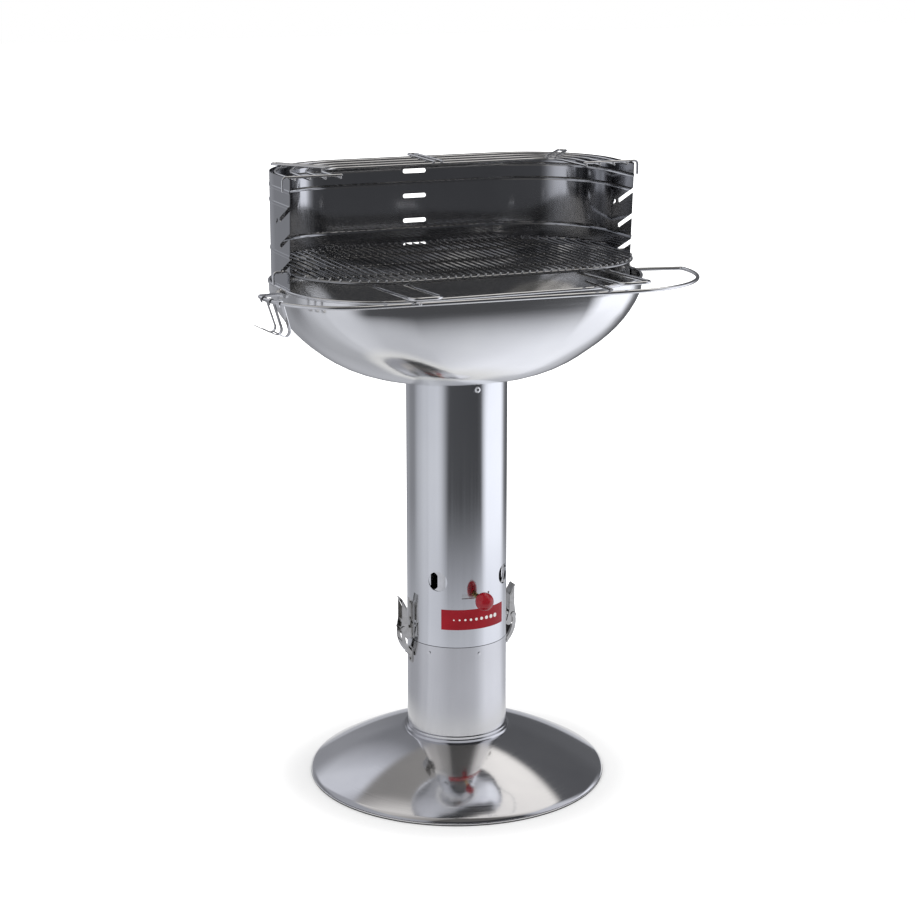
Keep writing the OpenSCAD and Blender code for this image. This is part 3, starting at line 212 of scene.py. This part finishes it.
def wire_chrome(name="wire_chrome", light=0.8, rough=0.1):
    smoothest, roughest, dimmest, blue = 0.7, 1.6, 0.86, 1.01
    m, nt, b = new_finish(name, 1, rough, (light, light, light))
    fleck = grain(nt, (160, 160, 160), 4)
    draw = grain(nt, (30, 30, 30), 3, row=1)
    nt.links.new(spread(nt, fleck, rough * smoothest, rough * roughest), b.inputs["Roughness"])
    low = light * dimmest
    shade = tint(nt, draw, (low, low, low * blue), (light, light, light))
    nt.links.new(shade, b.inputs["Base Color"])
    relief(nt, b, fleck, 0.08, 0.2 * MM)
    return m


def plain_sheet():
    m, nt, b = new_finish("plain_sheet", 1, 0.35, (0.5, 0.5, 0.5))
    cloud = grain(nt, (25, 25, 25), 5)
    nt.links.new(spread(nt, cloud, 0.28, 0.46), b.inputs["Roughness"])
    nt.links.new(tint(nt, cloud, (0.42, 0.42, 0.43), (0.58, 0.58, 0.57)), b.inputs["Base Color"])
    relief(nt, b, cloud, 0.2, 0.4 * MM)
    return m


def grate_iron():
    m, nt, b = new_finish("grate_iron", 0.9, 0.5, (0.16, 0.15, 0.15))
    scale = grain(nt, (70, 70, 70), 6)
    nt.links.new(spread(nt, scale, 0.4, 0.65), b.inputs["Roughness"])
    nt.links.new(tint(nt, scale, (0.1, 0.095, 0.09), (0.24, 0.225, 0.21)), b.inputs["Base Color"])
    relief(nt, b, scale, 0.35, 0.5 * MM)
    return m


def nickel():
    m, nt, b = new_finish("nickel", 1, 0.12, (0.56, 0.55, 0.53))
    fleck = grain(nt, (90, 90, 90), 5)
    nt.links.new(spread(nt, fleck, 0.07, 0.18), b.inputs["Roughness"])
    nt.links.new(tint(nt, fleck, (0.46, 0.45, 0.43), (0.62, 0.61, 0.59)), b.inputs["Base Color"])
    relief(nt, b, fleck, 0.12, 0.3 * MM)
    return m


def turned_brass():
    m, nt, b = new_finish("turned_brass", 1, 0.2, (0.78, 0.58, 0.28))
    turn = grain(nt, (20, 900, 20), 4)
    nt.links.new(spread(nt, turn, 0.14, 0.28), b.inputs["Roughness"])
    nt.links.new(tint(nt, turn, (0.68, 0.48, 0.2), (0.84, 0.65, 0.34)), b.inputs["Base Color"])
    relief(nt, b, turn, 0.12, 0.2 * MM)
    return m


def knob_lacquer():
    m, nt, b = new_finish("knob_lacquer", 0, 0.2, (0.3, 0.004, 0.012))
    b.inputs["Coat Weight"].default_value = 0.2
    b.inputs["Coat Roughness"].default_value = 0.04
    peel = grain(nt, (120, 120, 120), 3)
    cloud = grain(nt, (40, 40, 40), 3, row=1)
    nt.links.new(tint(nt, cloud, (0.26, 0.003, 0.01), (0.33, 0.005, 0.014)), b.inputs["Base Color"])
    nt.links.new(spread(nt, peel, 0.16, 0.26), b.inputs["Roughness"])
    relief(nt, b, peel, 0.05, 0.2 * MM)
    return m


def label_enamel():
    m, nt, b = new_finish("label_enamel", 0, 0.4, (0.3, 0.004, 0.012))
    b.inputs["Specular IOR Level"].default_value = 0.25
    peel = grain(nt, (300, 300, 300), 3)
    cloud = grain(nt, (30, 30, 30), 4, row=1)
    nt.links.new(tint(nt, cloud, (0.27, 0.003, 0.01), (0.33, 0.005, 0.014)), b.inputs["Base Color"])
    nt.links.new(spread(nt, peel, 0.34, 0.48), b.inputs["Roughness"])
    relief(nt, b, peel, 0.06, 0.1 * MM)
    return m


def dot_enamel():
    m, nt, b = new_finish("dot_enamel", 0, 0.35, (0.86, 0.85, 0.83))
    peel = grain(nt, (300, 300, 300), 3)
    nt.links.new(tint(nt, peel, (0.8, 0.79, 0.77), (0.88, 0.87, 0.85)), b.inputs["Base Color"])
    relief(nt, b, peel, 0.08, 0.1 * MM)
    return m


def moulded_rubber():
    m, nt, b = new_finish("moulded_rubber", 0, 0.7, (0.03, 0.03, 0.03))
    speck = grain(nt, (400, 400, 400), 4)
    shade = tint(nt, speck, (0.022, 0.022, 0.022), (0.045, 0.045, 0.045))
    nt.links.new(shade, b.inputs["Base Color"])
    nt.links.new(spread(nt, speck, 0.62, 0.8), b.inputs["Roughness"])
    relief(nt, b, speck, 0.2, 0.3 * MM)
    return m


TUBE, BUCKET, FOOT = polished_tube(), satin_bucket(), spun_foot()
BOWL, SHIELD, WIRE = satin_bowl(), brushed_shield(), wire_chrome()
# The grid's wires are a darker copy of the bright wire chrome: painted shade for the dark
# surroundings they reflect.
BARS_PAINTED_DARK = wire_chrome("bar_chrome_painted_dark", light=0.38, rough=0.09)
SHEET, IRON, NICKEL, BRASS = plain_sheet(), grate_iron(), nickel(), turned_brass()
KNOB, LABEL, DOTS, RUBBER = knob_lacquer(), label_enamel(), dot_enamel(), moulded_rubber()
RING = wire_chrome("ring_chrome", light=0.78, rough=0.14)
WELD = wire_chrome("weld_steel", light=0.82, rough=0.2)
FINISH = {
    "foot_dome": FOOT, "foot_collar": FOOT, "floor_ring": RUBBER, "ash_bucket": BUCKET,
    "upper_pillar": TUBE, "bowl": BOWL, "windshield": SHIELD, "bucket_spigot": SHEET,
    "bowl_collar": SHEET, "air_ring": RING, "air_ring_rests": SHEET, "air_stem": BRASS,
    "air_knob": KNOB, "label_plate": LABEL, "coal_grate_frame": IRON, "coal_grate_bars": IRON,
    "grid_bars": BARS_PAINTED_DARK, "grid_frame": BARS_PAINTED_DARK, "grid_cross_wires": BARS_PAINTED_DARK,
}


def finish_node(name):
    """The latches are nickel, and what isn't listed is bright wire."""
    if name in FINISH:
        return FINISH[name]
    return NICKEL if name.startswith("latch_") else WIRE


for name, ob in nodes.items():
    ob.data.materials.clear()
    ob.data.materials.append(finish_node(name))


# Made pieces
MERGE = 1e-6
SPIN_STEPS = 192
BEAD_ANGLE = 60
# What a nugget adds to its bar's radius at the sides and along it, and its rise, in mm
NUGGET_SIDE, NUGGET_ALONG, NUGGET_RISE = 0.5, 0.8, 1.2


def clear_selection():
    bpy.ops.object.select_all(action="DESELECT")


def take_copy(node, name):
    """Copy of a CAD node's mesh, merged into one skin."""
    clear_selection()
    ob = bpy.data.objects.new(name, nodes[node].data.copy())
    scene.collection.objects.link(ob)
    bpy.context.view_layer.objects.active = ob
    ob.select_set(True)
    bpy.ops.object.mode_set(mode="EDIT")
    bpy.ops.mesh.select_all(action="SELECT")
    bpy.ops.mesh.remove_doubles(threshold=MERGE)
    bpy.ops.mesh.normals_make_consistent(inside=False)
    bpy.ops.object.mode_set(mode="OBJECT")
    return ob


def settle(ob, name, body, finish, angle):
    """Applies the object's place, smooths it and hangs it on its body."""
    clear_selection()
    ob.select_set(True)
    bpy.context.view_layer.objects.active = ob
    bpy.ops.object.transform_apply(location=True, rotation=True, scale=True)
    bpy.ops.object.shade_smooth_by_angle(angle=math.radians(angle))
    ob.name = name
    ob.data.name = name
    ob.data.materials.clear()
    ob.data.materials.append(finish)
    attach(ob, body)
    return ob


def join_all(parts):
    clear_selection()
    for o in parts:
        o.select_set(True)
    bpy.context.view_layer.objects.active = parts[0]
    bpy.ops.object.join()
    return parts[0]


def copies(pattern, places):
    """Own-mesh copies of a modelled bead, each with its place, direction and three sizes."""
    made = []
    for place, along, size in places:
        o = bpy.data.objects.new(pattern.name, pattern.data.copy())
        scene.collection.objects.link(o)
        o.location = place
        o.rotation_euler = Vector(along).to_track_quat("Z", "Y").to_euler()
        o.scale = size
        made.append(o)
    bpy.data.objects.remove(pattern)
    return join_all(made)


def domed_end():
    """Unit cap of a cut and tumbled wire: a short stub with a rounded nose."""
    stub = 0.1
    clear_selection()
    bpy.ops.mesh.primitive_uv_sphere_add(segments=12, ring_count=8, radius=1)
    ob = bpy.context.object
    bpy.ops.object.mode_set(mode="EDIT")
    bpy.ops.mesh.select_all(action="SELECT")
    bpy.ops.mesh.bisect(plane_co=(0, 0, -stub), plane_no=(0, 0, 1), clear_inner=True,
                        use_fill=True)
    bpy.ops.object.mode_set(mode="OBJECT")
    return ob


def weld_nugget():
    """Unit nugget of a spot weld, squeezed out at its waist."""
    clear_selection()
    bpy.ops.mesh.primitive_uv_sphere_add(segments=10, ring_count=6, radius=1)
    return bpy.context.object


def smooth_bowl():
    """Deep-drawn bowl: the loft's facets merged and rounded off."""
    ob = take_copy("bowl", "smooth_bowl")
    settle(ob, "smooth_bowl", "pedestal", BOWL, angle=38)
    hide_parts("bowl")


def spun(rings, name, body, finish, angle):
    """Body of revolution about Z through rings (radius, height) in mm: a closed shell or a hoop."""
    closed = rings[0] == rings[-1]
    first_r, first_z = rings[0]
    clear_selection()
    bpy.ops.mesh.primitive_circle_add(vertices=SPIN_STEPS, radius=first_r * MM,
                                      location=(0, 0, first_z * MM))
    ob = bpy.context.object
    bpy.ops.object.transform_apply(location=True, rotation=True, scale=True)
    bpy.ops.object.mode_set(mode="EDIT")
    bpy.ops.mesh.select_all(action="SELECT")
    for (r0, z0), (r1, z1) in zip(rings, rings[1:]):
        bpy.ops.mesh.extrude_region_move(
            TRANSFORM_OT_translate={"value": (0, 0, (z1 - z0) * MM)})
        bpy.ops.transform.resize(value=(r1 / r0, r1 / r0, 1), center_override=(0, 0, 0))
    if closed:
        bpy.ops.mesh.select_all(action="SELECT")
        bpy.ops.mesh.remove_doubles(threshold=MERGE)
    else:
        bpy.ops.mesh.edge_face_add()
        bpy.ops.mesh.select_all(action="DESELECT")
        bpy.ops.mesh.select_non_manifold()
        bpy.ops.mesh.edge_face_add()
        bpy.ops.mesh.select_all(action="SELECT")
    bpy.ops.mesh.normals_make_consistent(inside=False)
    bpy.ops.object.mode_set(mode="OBJECT")
    return settle(ob, name, body, finish, angle)


def spun_dome():
    """Dome of the foot with its edge rolled down to a narrow hem."""
    hole, seat, edge, seat_z, edge_z, crown = 70, 86, 232, 73, 11.5, 6
    steps, wall, wall_out, wall_down = 28, 2, 1.2, 1.7
    shares = [i / steps for i in range(steps + 1)]
    top = [(seat + (edge - seat) * t, seat_z + (edge_z - seat_z) * t + 4 * crown * t * (1 - t))
           for t in shares]
    lip = [(233.5, 10.6), (235, 9.5), (236.5, 8.1), (237.8, 6.5), (238.6, 5.2), (238.3, 4.8),
           (237, 4.6), (237, 4.0), (238.3, 3.8), (238.9, 3.3), (238.95, 2.6), (238.6, 2.0),
           (237.4, 1.7), (236.4, 1.8)]
    under = [(235.9, 2.6), (235.6, 5), (234.6, 6.9), (232.8, 8.7)]
    back = [(r - wall_out, z - wall_down) for r, z in reversed(top[:-1])]
    ob = spun([(hole, seat_z)] + top + lip + under + back + [(hole, seat_z - wall)],
              "spun_dome", "pedestal", FOOT, angle=32)
    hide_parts("foot_dome")


def floor_seal():
    """Rubber ring under the foot's edge, with three ribs on the floor."""
    ribs = [(232.8, 0.5), (233.4, 0), (234.2, 0), (234.7, 0.7), (235.3, 0), (236.1, 0),
            (236.6, 0.7), (237.2, 0), (238, 0), (238.5, 0.5)]
    sides = [(238.5, 1.2), (237.6, 1.6), (236, 1.6), (235.6, 2.4), (235.3, 4.9), (234.3, 6.6),
             (232.9, 7.6), (231.8, 7.4), (231.4, 6), (231.4, 1.6), (232.8, 0.5)]
    ob = spun(ribs + sides, "floor_seal", "pedestal", RUBBER, angle=40)
    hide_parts("floor_ring")


def oval_edge(frame_box, wire, corner, x, front):
    """Y of a rounded frame's wire at x, from the frame's box."""
    low, high = frame_box
    side = high.x - wire - corner
    dip = corner if abs(x) < side else math.sqrt(corner ** 2 - (abs(x) - side) ** 2)
    return low.y + wire + corner - dip if front else high.y - wire - corner + dip


def bar_ends(bars, frame_node, r, wire, corner, pitch, over, body, finish):
    """Rounded ends and weld nuggets of bars that lie across a rounded frame; sizes in mm."""
    low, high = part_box(bars)
    frame_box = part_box(frame_node)
    z = high.z - r * MM
    nugget = ((r + NUGGET_SIDE) * MM, (r + NUGGET_ALONG) * MM, NUGGET_RISE * MM)
    ends, welds = [], []
    for i in range(round((high.x - low.x - 2 * r * MM) / (pitch * MM)) + 1):
        x = low.x + (r + i * pitch) * MM
        for out in (-1, 1):
            y = oval_edge(frame_box, wire * MM, corner * MM, x, out < 0)
            ends.append(((x, y + out * over * MM, z), (0, out, 0), (r * MM, r * MM, r * MM)))
            welds.append(((x, y, z - r * MM), (0, 0, 1), nugget))
    settle(copies(domed_end(), ends), bars + "_ends", body, finish, BEAD_ANGLE)
    settle(copies(weld_nugget(), welds), bars + "_welds", body, finish, BEAD_ANGLE)


def round_ends(name, places, r, body):
    """Rounded ends of cut wires: places are (place, direction) in mm."""
    ends = [([v * MM for v in place], along, (r * MM, r * MM, r * MM)) for place, along in places]
    settle(copies(domed_end(), ends), name, body, WIRE, BEAD_ANGLE)


# The warming rack in mm: the wire's radius, the hoops' front, the ties' inset and their two wires
RACK_WIRE, RACK_FRONT, TIE_IN = 2, 39, 4
TIE_WIRES = (-7.0, 7.0)
# Each hoop's half width, depth and corner
HOOPS = [(203 + 24 * i, 77 + 30 * i, 38 + 32 * i) for i in range(4)]
# The windshield's sheet and the inner radius of its corners
SHIELD_WALL, SHIELD_CORNER = 1, 144.5


def tie_crossings(side):
    """Start and directions of the tie over the hoops' corners, and where it crosses them."""
    x0, y0, c0 = HOOPS[0]
    shrink = 1 - math.cos(math.radians(45))
    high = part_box("windshield")[1] / MM
    start = Vector((x0 - c0 * shrink, y0 - c0 * shrink))
    last = Vector((high.x - SHIELD_WALL - SHIELD_CORNER * shrink,
                   high.y - SHIELD_WALL - SHIELD_CORNER * shrink))
    along = (last - start).normalized()
    across = Vector((-along.y, along.x))
    found = []
    for off in TIE_WIRES:
        p = start + across * off
        for x, y, c in HOOPS:
            to = p - Vector((x - c, y - c))
            b = to.dot(along)
            found.append(p + along * (math.sqrt(b * b - to.length_squared + c * c) - b))
    return start, along, across, [(side * v.x, v.y) for v in found]


def rack_details():
    """Rounded ends of the rack's wires and the weld nuggets where they cross."""
    low, high = [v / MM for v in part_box("rack_front_bars")]
    bar_z, bar_y, hoop_z = high.z - RACK_WIRE, RACK_WIRE - RACK_FRONT, high.z - 3 * RACK_WIRE
    nugget = (2.5 * MM, 2.5 * MM, 1.4 * MM)
    crossings = [(off, y) for off in TIE_WIRES for _, y, _ in HOOPS]
    ends = [((off, HOOPS[0][1] - TIE_IN, bar_z), (0, -1, 0)) for off in TIE_WIRES]
    for side in (-1, 1):
        ends += [((side * (HOOPS[0][0] - RACK_WIRE), bar_y, bar_z), (-side, 0, 0)),
                 ((side * (high.x - RACK_WIRE), bar_y, low.z), (0, 0, -1))]
        ends += [((side * x, -RACK_FRONT, hoop_z), (0, -1, 0)) for x, _, _ in HOOPS]
        crossings += [(side * x, bar_y) for x, _, _ in HOOPS]
        start, along, across, found = tie_crossings(side)
        crossings += found
        for off in TIE_WIRES:
            p = start - along * TIE_IN + across * off
            ends.append(((side * p.x, p.y, bar_z), (-side * along.x, -along.y, 0)))
    round_ends("rack_wire_ends", ends, RACK_WIRE, "warming_rack")
    welds = [((x * MM, y * MM, (bar_z - RACK_WIRE) * MM), (0, 0, 1), nugget)
             for x, y in crossings]
    settle(copies(weld_nugget(), welds), "rack_welds", "warming_rack", WELD,
           BEAD_ANGLE)


def handle_and_strut_ends():
    """Rounded ends of the grid's handles and of the struts under the rail."""
    r, handle_width = 2.5, 48
    low, high = [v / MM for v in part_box("grid_handles")]
    ends = [((side * (high.x - r - over), high.y, low.z + r), (0, 1, 0))
            for side in (-1, 1) for over in (0, handle_width)]
    round_ends("handle_wire_ends", ends, r, "cooking_grid")
    low, high = [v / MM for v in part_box("rail_struts")]
    ends = [((side * (high.x - r), y, high.z - r), (0, out, 0)) for side in (-1, 1)
            for y, out in ((low.y, -1), (high.y, 1))]
    round_ends("strut_wire_ends", ends, r, "pedestal")


def label_dots():
    """Graduated row of raised enamel dots on the bare plate, from least to most air."""
    dots, first, step = 9, -116, 6.5
    smallest, growth, depth, edge = 1.2, 0.28, 0.5, 0.12
    low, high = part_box("label_plate")
    r = -low.y
    z = (low.z + high.z) / 2
    made = []
    for i in range(dots):
        a = math.radians(first + step * i)
        size = (smallest + growth * i) * MM
        clear_selection()
        bpy.ops.mesh.primitive_cylinder_add(vertices=40, radius=size, depth=depth * MM,
                                            location=(r * math.cos(a), r * math.sin(a), z),
                                            rotation=(0, math.pi / 2, a))
        ob = bpy.context.object
        bpy.ops.object.transform_apply(location=False, rotation=True, scale=True)
        bpy.ops.object.mode_set(mode="EDIT")
        bpy.ops.mesh.select_all(action="SELECT")
        bpy.ops.mesh.bevel(offset=edge * MM, segments=2, affect="EDGES")
        bpy.ops.object.mode_set(mode="OBJECT")
        made.append(ob)
    settle(join_all(made), "label_dots", "pedestal", DOTS, angle=40)


smooth_bowl()
spun_dome()
floor_seal()
# The grid's ends and nuggets keep the bright weld steel, so they stand out against the bars' painted
# shade.
bar_ends("grid_bars", "grid_frame", r=1.5, wire=2.5, corner=135, pitch=12, over=2,
         body="cooking_grid", finish=WELD)
bar_ends("coal_grate_bars", "coal_grate_frame", r=2, wire=3, corner=141.3, pitch=15, over=0,
         body="charcoal_grate", finish=IRON)
rack_details()
handle_and_strut_ends()
label_dots()

# Studio: compass angle and brightness of the cloths that the metal sees in place of the white
# background: far off and low down, higher up, near by and overhead
FAR_CLOTHS = [(-180, 0.68), (-155, 0.7), (-147, 0.6), (-140, 0.38), (-133, 0.16), (-127, 0.08),
              (-60, 0.07), (-44, 0.09), (-38, 0.35), (-31, 1.15), (4, 1.2), (12, 0.9), (20, 0.35),
              (30, 0.14), (62, 0.12), (84, 0.3), (100, 0.35), (120, 0.26), (135, 0.26),
              (150, 0.5), (168, 0.64)]
FRONT_RIGHT = [(-64, 0.07), (-57, 0.12), (-49, 0.8), (-42, 1.2)]
LOW_CLOTHS = FAR_CLOTHS[:6] + FRONT_RIGHT + FAR_CLOTHS[10:]
HIGH_CLOTHS = [(-180, 0.5), (-140, 0.4), (-132, 0.05), (-56, 0.05), (-46, 0.5), (-40, 0.7),
               (-12, 0.7), (8, 0.12), (55, 0.11), (88, 0.26), (96, 0.5), (104, 0.75),
               (114, 0.8), (124, 0.45)]
NEAR_CLOTHS = [(-180, 0.7), (-150, 0.64), (-129, 0.56), (-100, 0.56), (-75, 0.6), (-60, 0.78),
               (-48, 0.95), (-20, 1.0), (0, 0.95), (20, 0.6), (50, 0.5), (94, 0.5),
               (120, 0.42), (150, 0.45), (168, 0.6)]
TOP_CLOTHS = [(-180, 0.5), (-140, 0.35), (-130, 0.12), (-62, 0.15), (-30, 0.9), (0, 1.0),
              (46, 1.05), (60, 0.5), (76, 0.3), (118, 0.28), (130, 0.8), (150, 0.6)]
COOL, WARM = (0.96, 0.98, 1.06), (1.03, 1.0, 0.97)


def math_node(nt, operation, *values):
    m = nt.nodes.new("ShaderNodeMath")
    m.operation = operation
    for socket, v in zip(m.inputs, values):
        nt.links.new(v, socket)
    return m.outputs[0]


def laid_over(nt, below, above, share):
    """One cloth's light passing into the next."""
    mix = nt.nodes.new("ShaderNodeMix")
    mix.data_type = "RGBA"
    nt.links.new(share, mix.inputs["Factor"])
    nt.links.new(below, mix.inputs["A"])
    nt.links.new(above, mix.inputs["B"])
    return mix.outputs["Result"]


def cloth_light(nt, at, stops, tone=COOL):
    """Grey by compass angle, from the wanted values at a few angles."""
    around = map_range(nt, at, -math.pi, math.pi, 0, 1)
    ramp = nt.nodes.new("ShaderNodeValToRGB")
    els = ramp.color_ramp.elements
    while len(els) < len(stops):
        els.new(0.5)
    for e, (angle, _) in zip(els, stops):
        e.position = (angle + 180) / 360
    for e, (_, level) in zip(els, stops):
        e.color = (level * tone[0], level * tone[1], level * tone[2], 1)
    nt.links.new(around.outputs["Result"], ramp.inputs["Fac"])
    return ramp.outputs["Color"]


def floor_plan(nt):
    """Compass angle, distance from the middle and height of the shaded place."""
    tc = nt.nodes.new("ShaderNodeTexCoord")
    sep = nt.nodes.new("ShaderNodeSeparateXYZ")
    nt.links.new(tc.outputs["Object"], sep.inputs[0])
    x, y = sep.outputs["X"], sep.outputs["Y"]
    xx, yy = math_node(nt, "MULTIPLY", x, x), math_node(nt, "MULTIPLY", y, y)
    away = math_node(nt, "SQRT", math_node(nt, "ADD", xx, yy))
    return math_node(nt, "ARCTAN2", y, x), away, sep.outputs["Z"]


def ease(nt, value, start, end, low=0, high=1):
    """Soft passage from low to high between two places."""
    mr = map_range(nt, value, start, end, low, high)
    mr.interpolation_type = "SMOOTHSTEP"
    return mr.outputs["Result"]


def studio_floor():
    """White sweep with painted pale shade round the foot; the metal sees it near the object only, and
    the cloths beyond.
    """
    width, shadow, near, clear, dimmest = 40, 0.25, 0.24, 0.42, 0.15
    bpy.ops.mesh.primitive_plane_add(size=width, location=(0, 0, 0))
    ob = bpy.context.object
    ob.name = "studio_floor"
    m, nt, b = new_finish("studio_floor", 0, 0.9, (0.82, 0.82, 0.82))
    lp = nt.nodes.new("ShaderNodeLightPath")
    em = nt.nodes.new("ShaderNodeEmission")
    mix = nt.nodes.new("ShaderNodeMixShader")
    at, away, _ = floor_plan(nt)
    b.inputs["Emission Color"].default_value = (1, 1, 1, 1)
    # Within a short way of the foot the camera's white is lowered, painting pale shade round it on
    # top of the rendered shadow.
    white = ease(nt, away, shadow, clear, dimmest, 1)
    lift = math_node(nt, "MULTIPLY", lp.outputs["Is Camera Ray"], white)
    nt.links.new(lift, b.inputs["Emission Strength"])
    light = cloth_light(nt, at, NEAR_CLOTHS)
    for stops, start, end in ((LOW_CLOTHS, 0.65, 1.85), (FAR_CLOTHS, 3.0, 4.0)):
        light = laid_over(nt, light, cloth_light(nt, at, stops), ease(nt, away, start, end))
    nt.links.new(light, em.inputs["Color"])
    beyond = ease(nt, away, near, clear)
    cloths = math_node(nt, "MULTIPLY", lp.outputs["Is Glossy Ray"], beyond)
    nt.links.new(cloths, mix.inputs[0])
    nt.links.new(b.outputs[0], mix.inputs[1])
    nt.links.new(em.outputs[0], mix.inputs[2])
    nt.links.new(mix.outputs[0], nt.nodes["Material Output"].inputs["Surface"])
    ob.data.materials.append(m)


def studio_world():
    """White to the camera, pale to dull surfaces and grey in the metal's reflections."""
    for_camera, for_dull, for_metal = 1.0, 0.9, 0.35
    w = bpy.data.worlds.new("studio")
    scene.world = w
    w.use_nodes = True
    nt = w.node_tree
    bg = nt.nodes["Background"]
    lp = nt.nodes.new("ShaderNodeLightPath")
    plain = nt.nodes.new("ShaderNodeMapRange")
    plain.inputs["To Min"].default_value = for_dull
    plain.inputs["To Max"].default_value = for_metal
    level = nt.nodes.new("ShaderNodeMapRange")
    level.inputs["To Max"].default_value = for_camera
    nt.links.new(lp.outputs["Is Glossy Ray"], plain.inputs["Value"])
    nt.links.new(plain.outputs["Result"], level.inputs["To Min"])
    nt.links.new(lp.outputs["Is Camera Ray"], level.inputs["Value"])
    nt.links.new(level.outputs["Result"], bg.inputs["Strength"])
    bg.inputs["Color"].default_value = (1, 1, 1, 1)


def studio_dome():
    """Dome of light and dark cloths that only reflections see."""
    reach, sunk = 6, 0.05
    bpy.ops.mesh.primitive_uv_sphere_add(segments=96, ring_count=48, radius=reach)
    ob = bpy.context.object
    bpy.ops.object.mode_set(mode="EDIT")
    bpy.ops.mesh.select_all(action="SELECT")
    bpy.ops.mesh.bisect(plane_co=(0, 0, -sunk), plane_no=(0, 0, 1), clear_inner=True)
    bpy.ops.object.mode_set(mode="OBJECT")
    ob.name = "studio_dome"
    m = bpy.data.materials.new("studio_dome")
    m.use_nodes = True
    nt = m.node_tree
    nt.nodes.clear()
    out = nt.nodes.new("ShaderNodeOutputMaterial")
    em = nt.nodes.new("ShaderNodeEmission")
    at, away, up = floor_plan(nt)
    rise = math_node(nt, "ARCTAN2", up, away)
    light = cloth_light(nt, at, FAR_CLOTHS)
    for stops, tone, start, end in ((HIGH_CLOTHS, COOL, 12, 24), (TOP_CLOTHS, WARM, 46, 51)):
        over = ease(nt, rise, math.radians(start), math.radians(end))
        light = laid_over(nt, light, cloth_light(nt, at, stops, tone), over)
    nt.links.new(light, em.inputs["Color"])
    nt.links.new(em.outputs[0], out.inputs["Surface"])
    ob.data.materials.append(m)
    ob.visible_camera = False
    ob.visible_diffuse = False
    ob.visible_shadow = False


def soft_lamp(name, place, aim, size, power):
    """Lamp for the dull surfaces and the shadow; the metal sees the cloths in its place."""
    ld = bpy.data.lights.new(name, "AREA")
    ld.shape = "RECTANGLE"
    ld.size, ld.size_y = size
    ld.energy = power
    lo = bpy.data.objects.new(name, ld)
    scene.collection.objects.link(lo)
    lo.location = place
    lo.rotation_euler = (Vector(aim) - Vector(place)).to_track_quat("-Z", "Y").to_euler()
    lo.visible_glossy = False


def camera():
    """Camera in front and to the left, tilted down, with a small shift."""
    tilt, turn = 13.22, 22.86
    cd = bpy.data.cameras.new("camera")
    co = bpy.data.objects.new("camera", cd)
    scene.collection.objects.link(co)
    scene.camera = co
    co.location = (-1.261, -3.003, 1.363)
    co.rotation_euler = (math.radians(90 - tilt), 0, math.radians(-turn))
    cd.lens = 83.36
    cd.sensor_width = 36
    cd.shift_x, cd.shift_y = -0.0023, -0.0503
    cd.clip_end = 60


clear_selection()
studio_floor()
studio_dome()
studio_world()
soft_lamp("lamp_left", place=(-2.6, -1.6, 2.6), aim=(0, 0, 0.6), size=(1.6, 2.0), power=16)
soft_lamp("lamp_right", place=(2.6, -0.8, 2.2), aim=(0, 0, 0.6), size=(1.0, 2.2), power=12)
soft_lamp("lamp_top", place=(0.2, 0.3, 3.2), aim=(0, 0, 0.5), size=(2.2, 1.6), power=12)
camera()
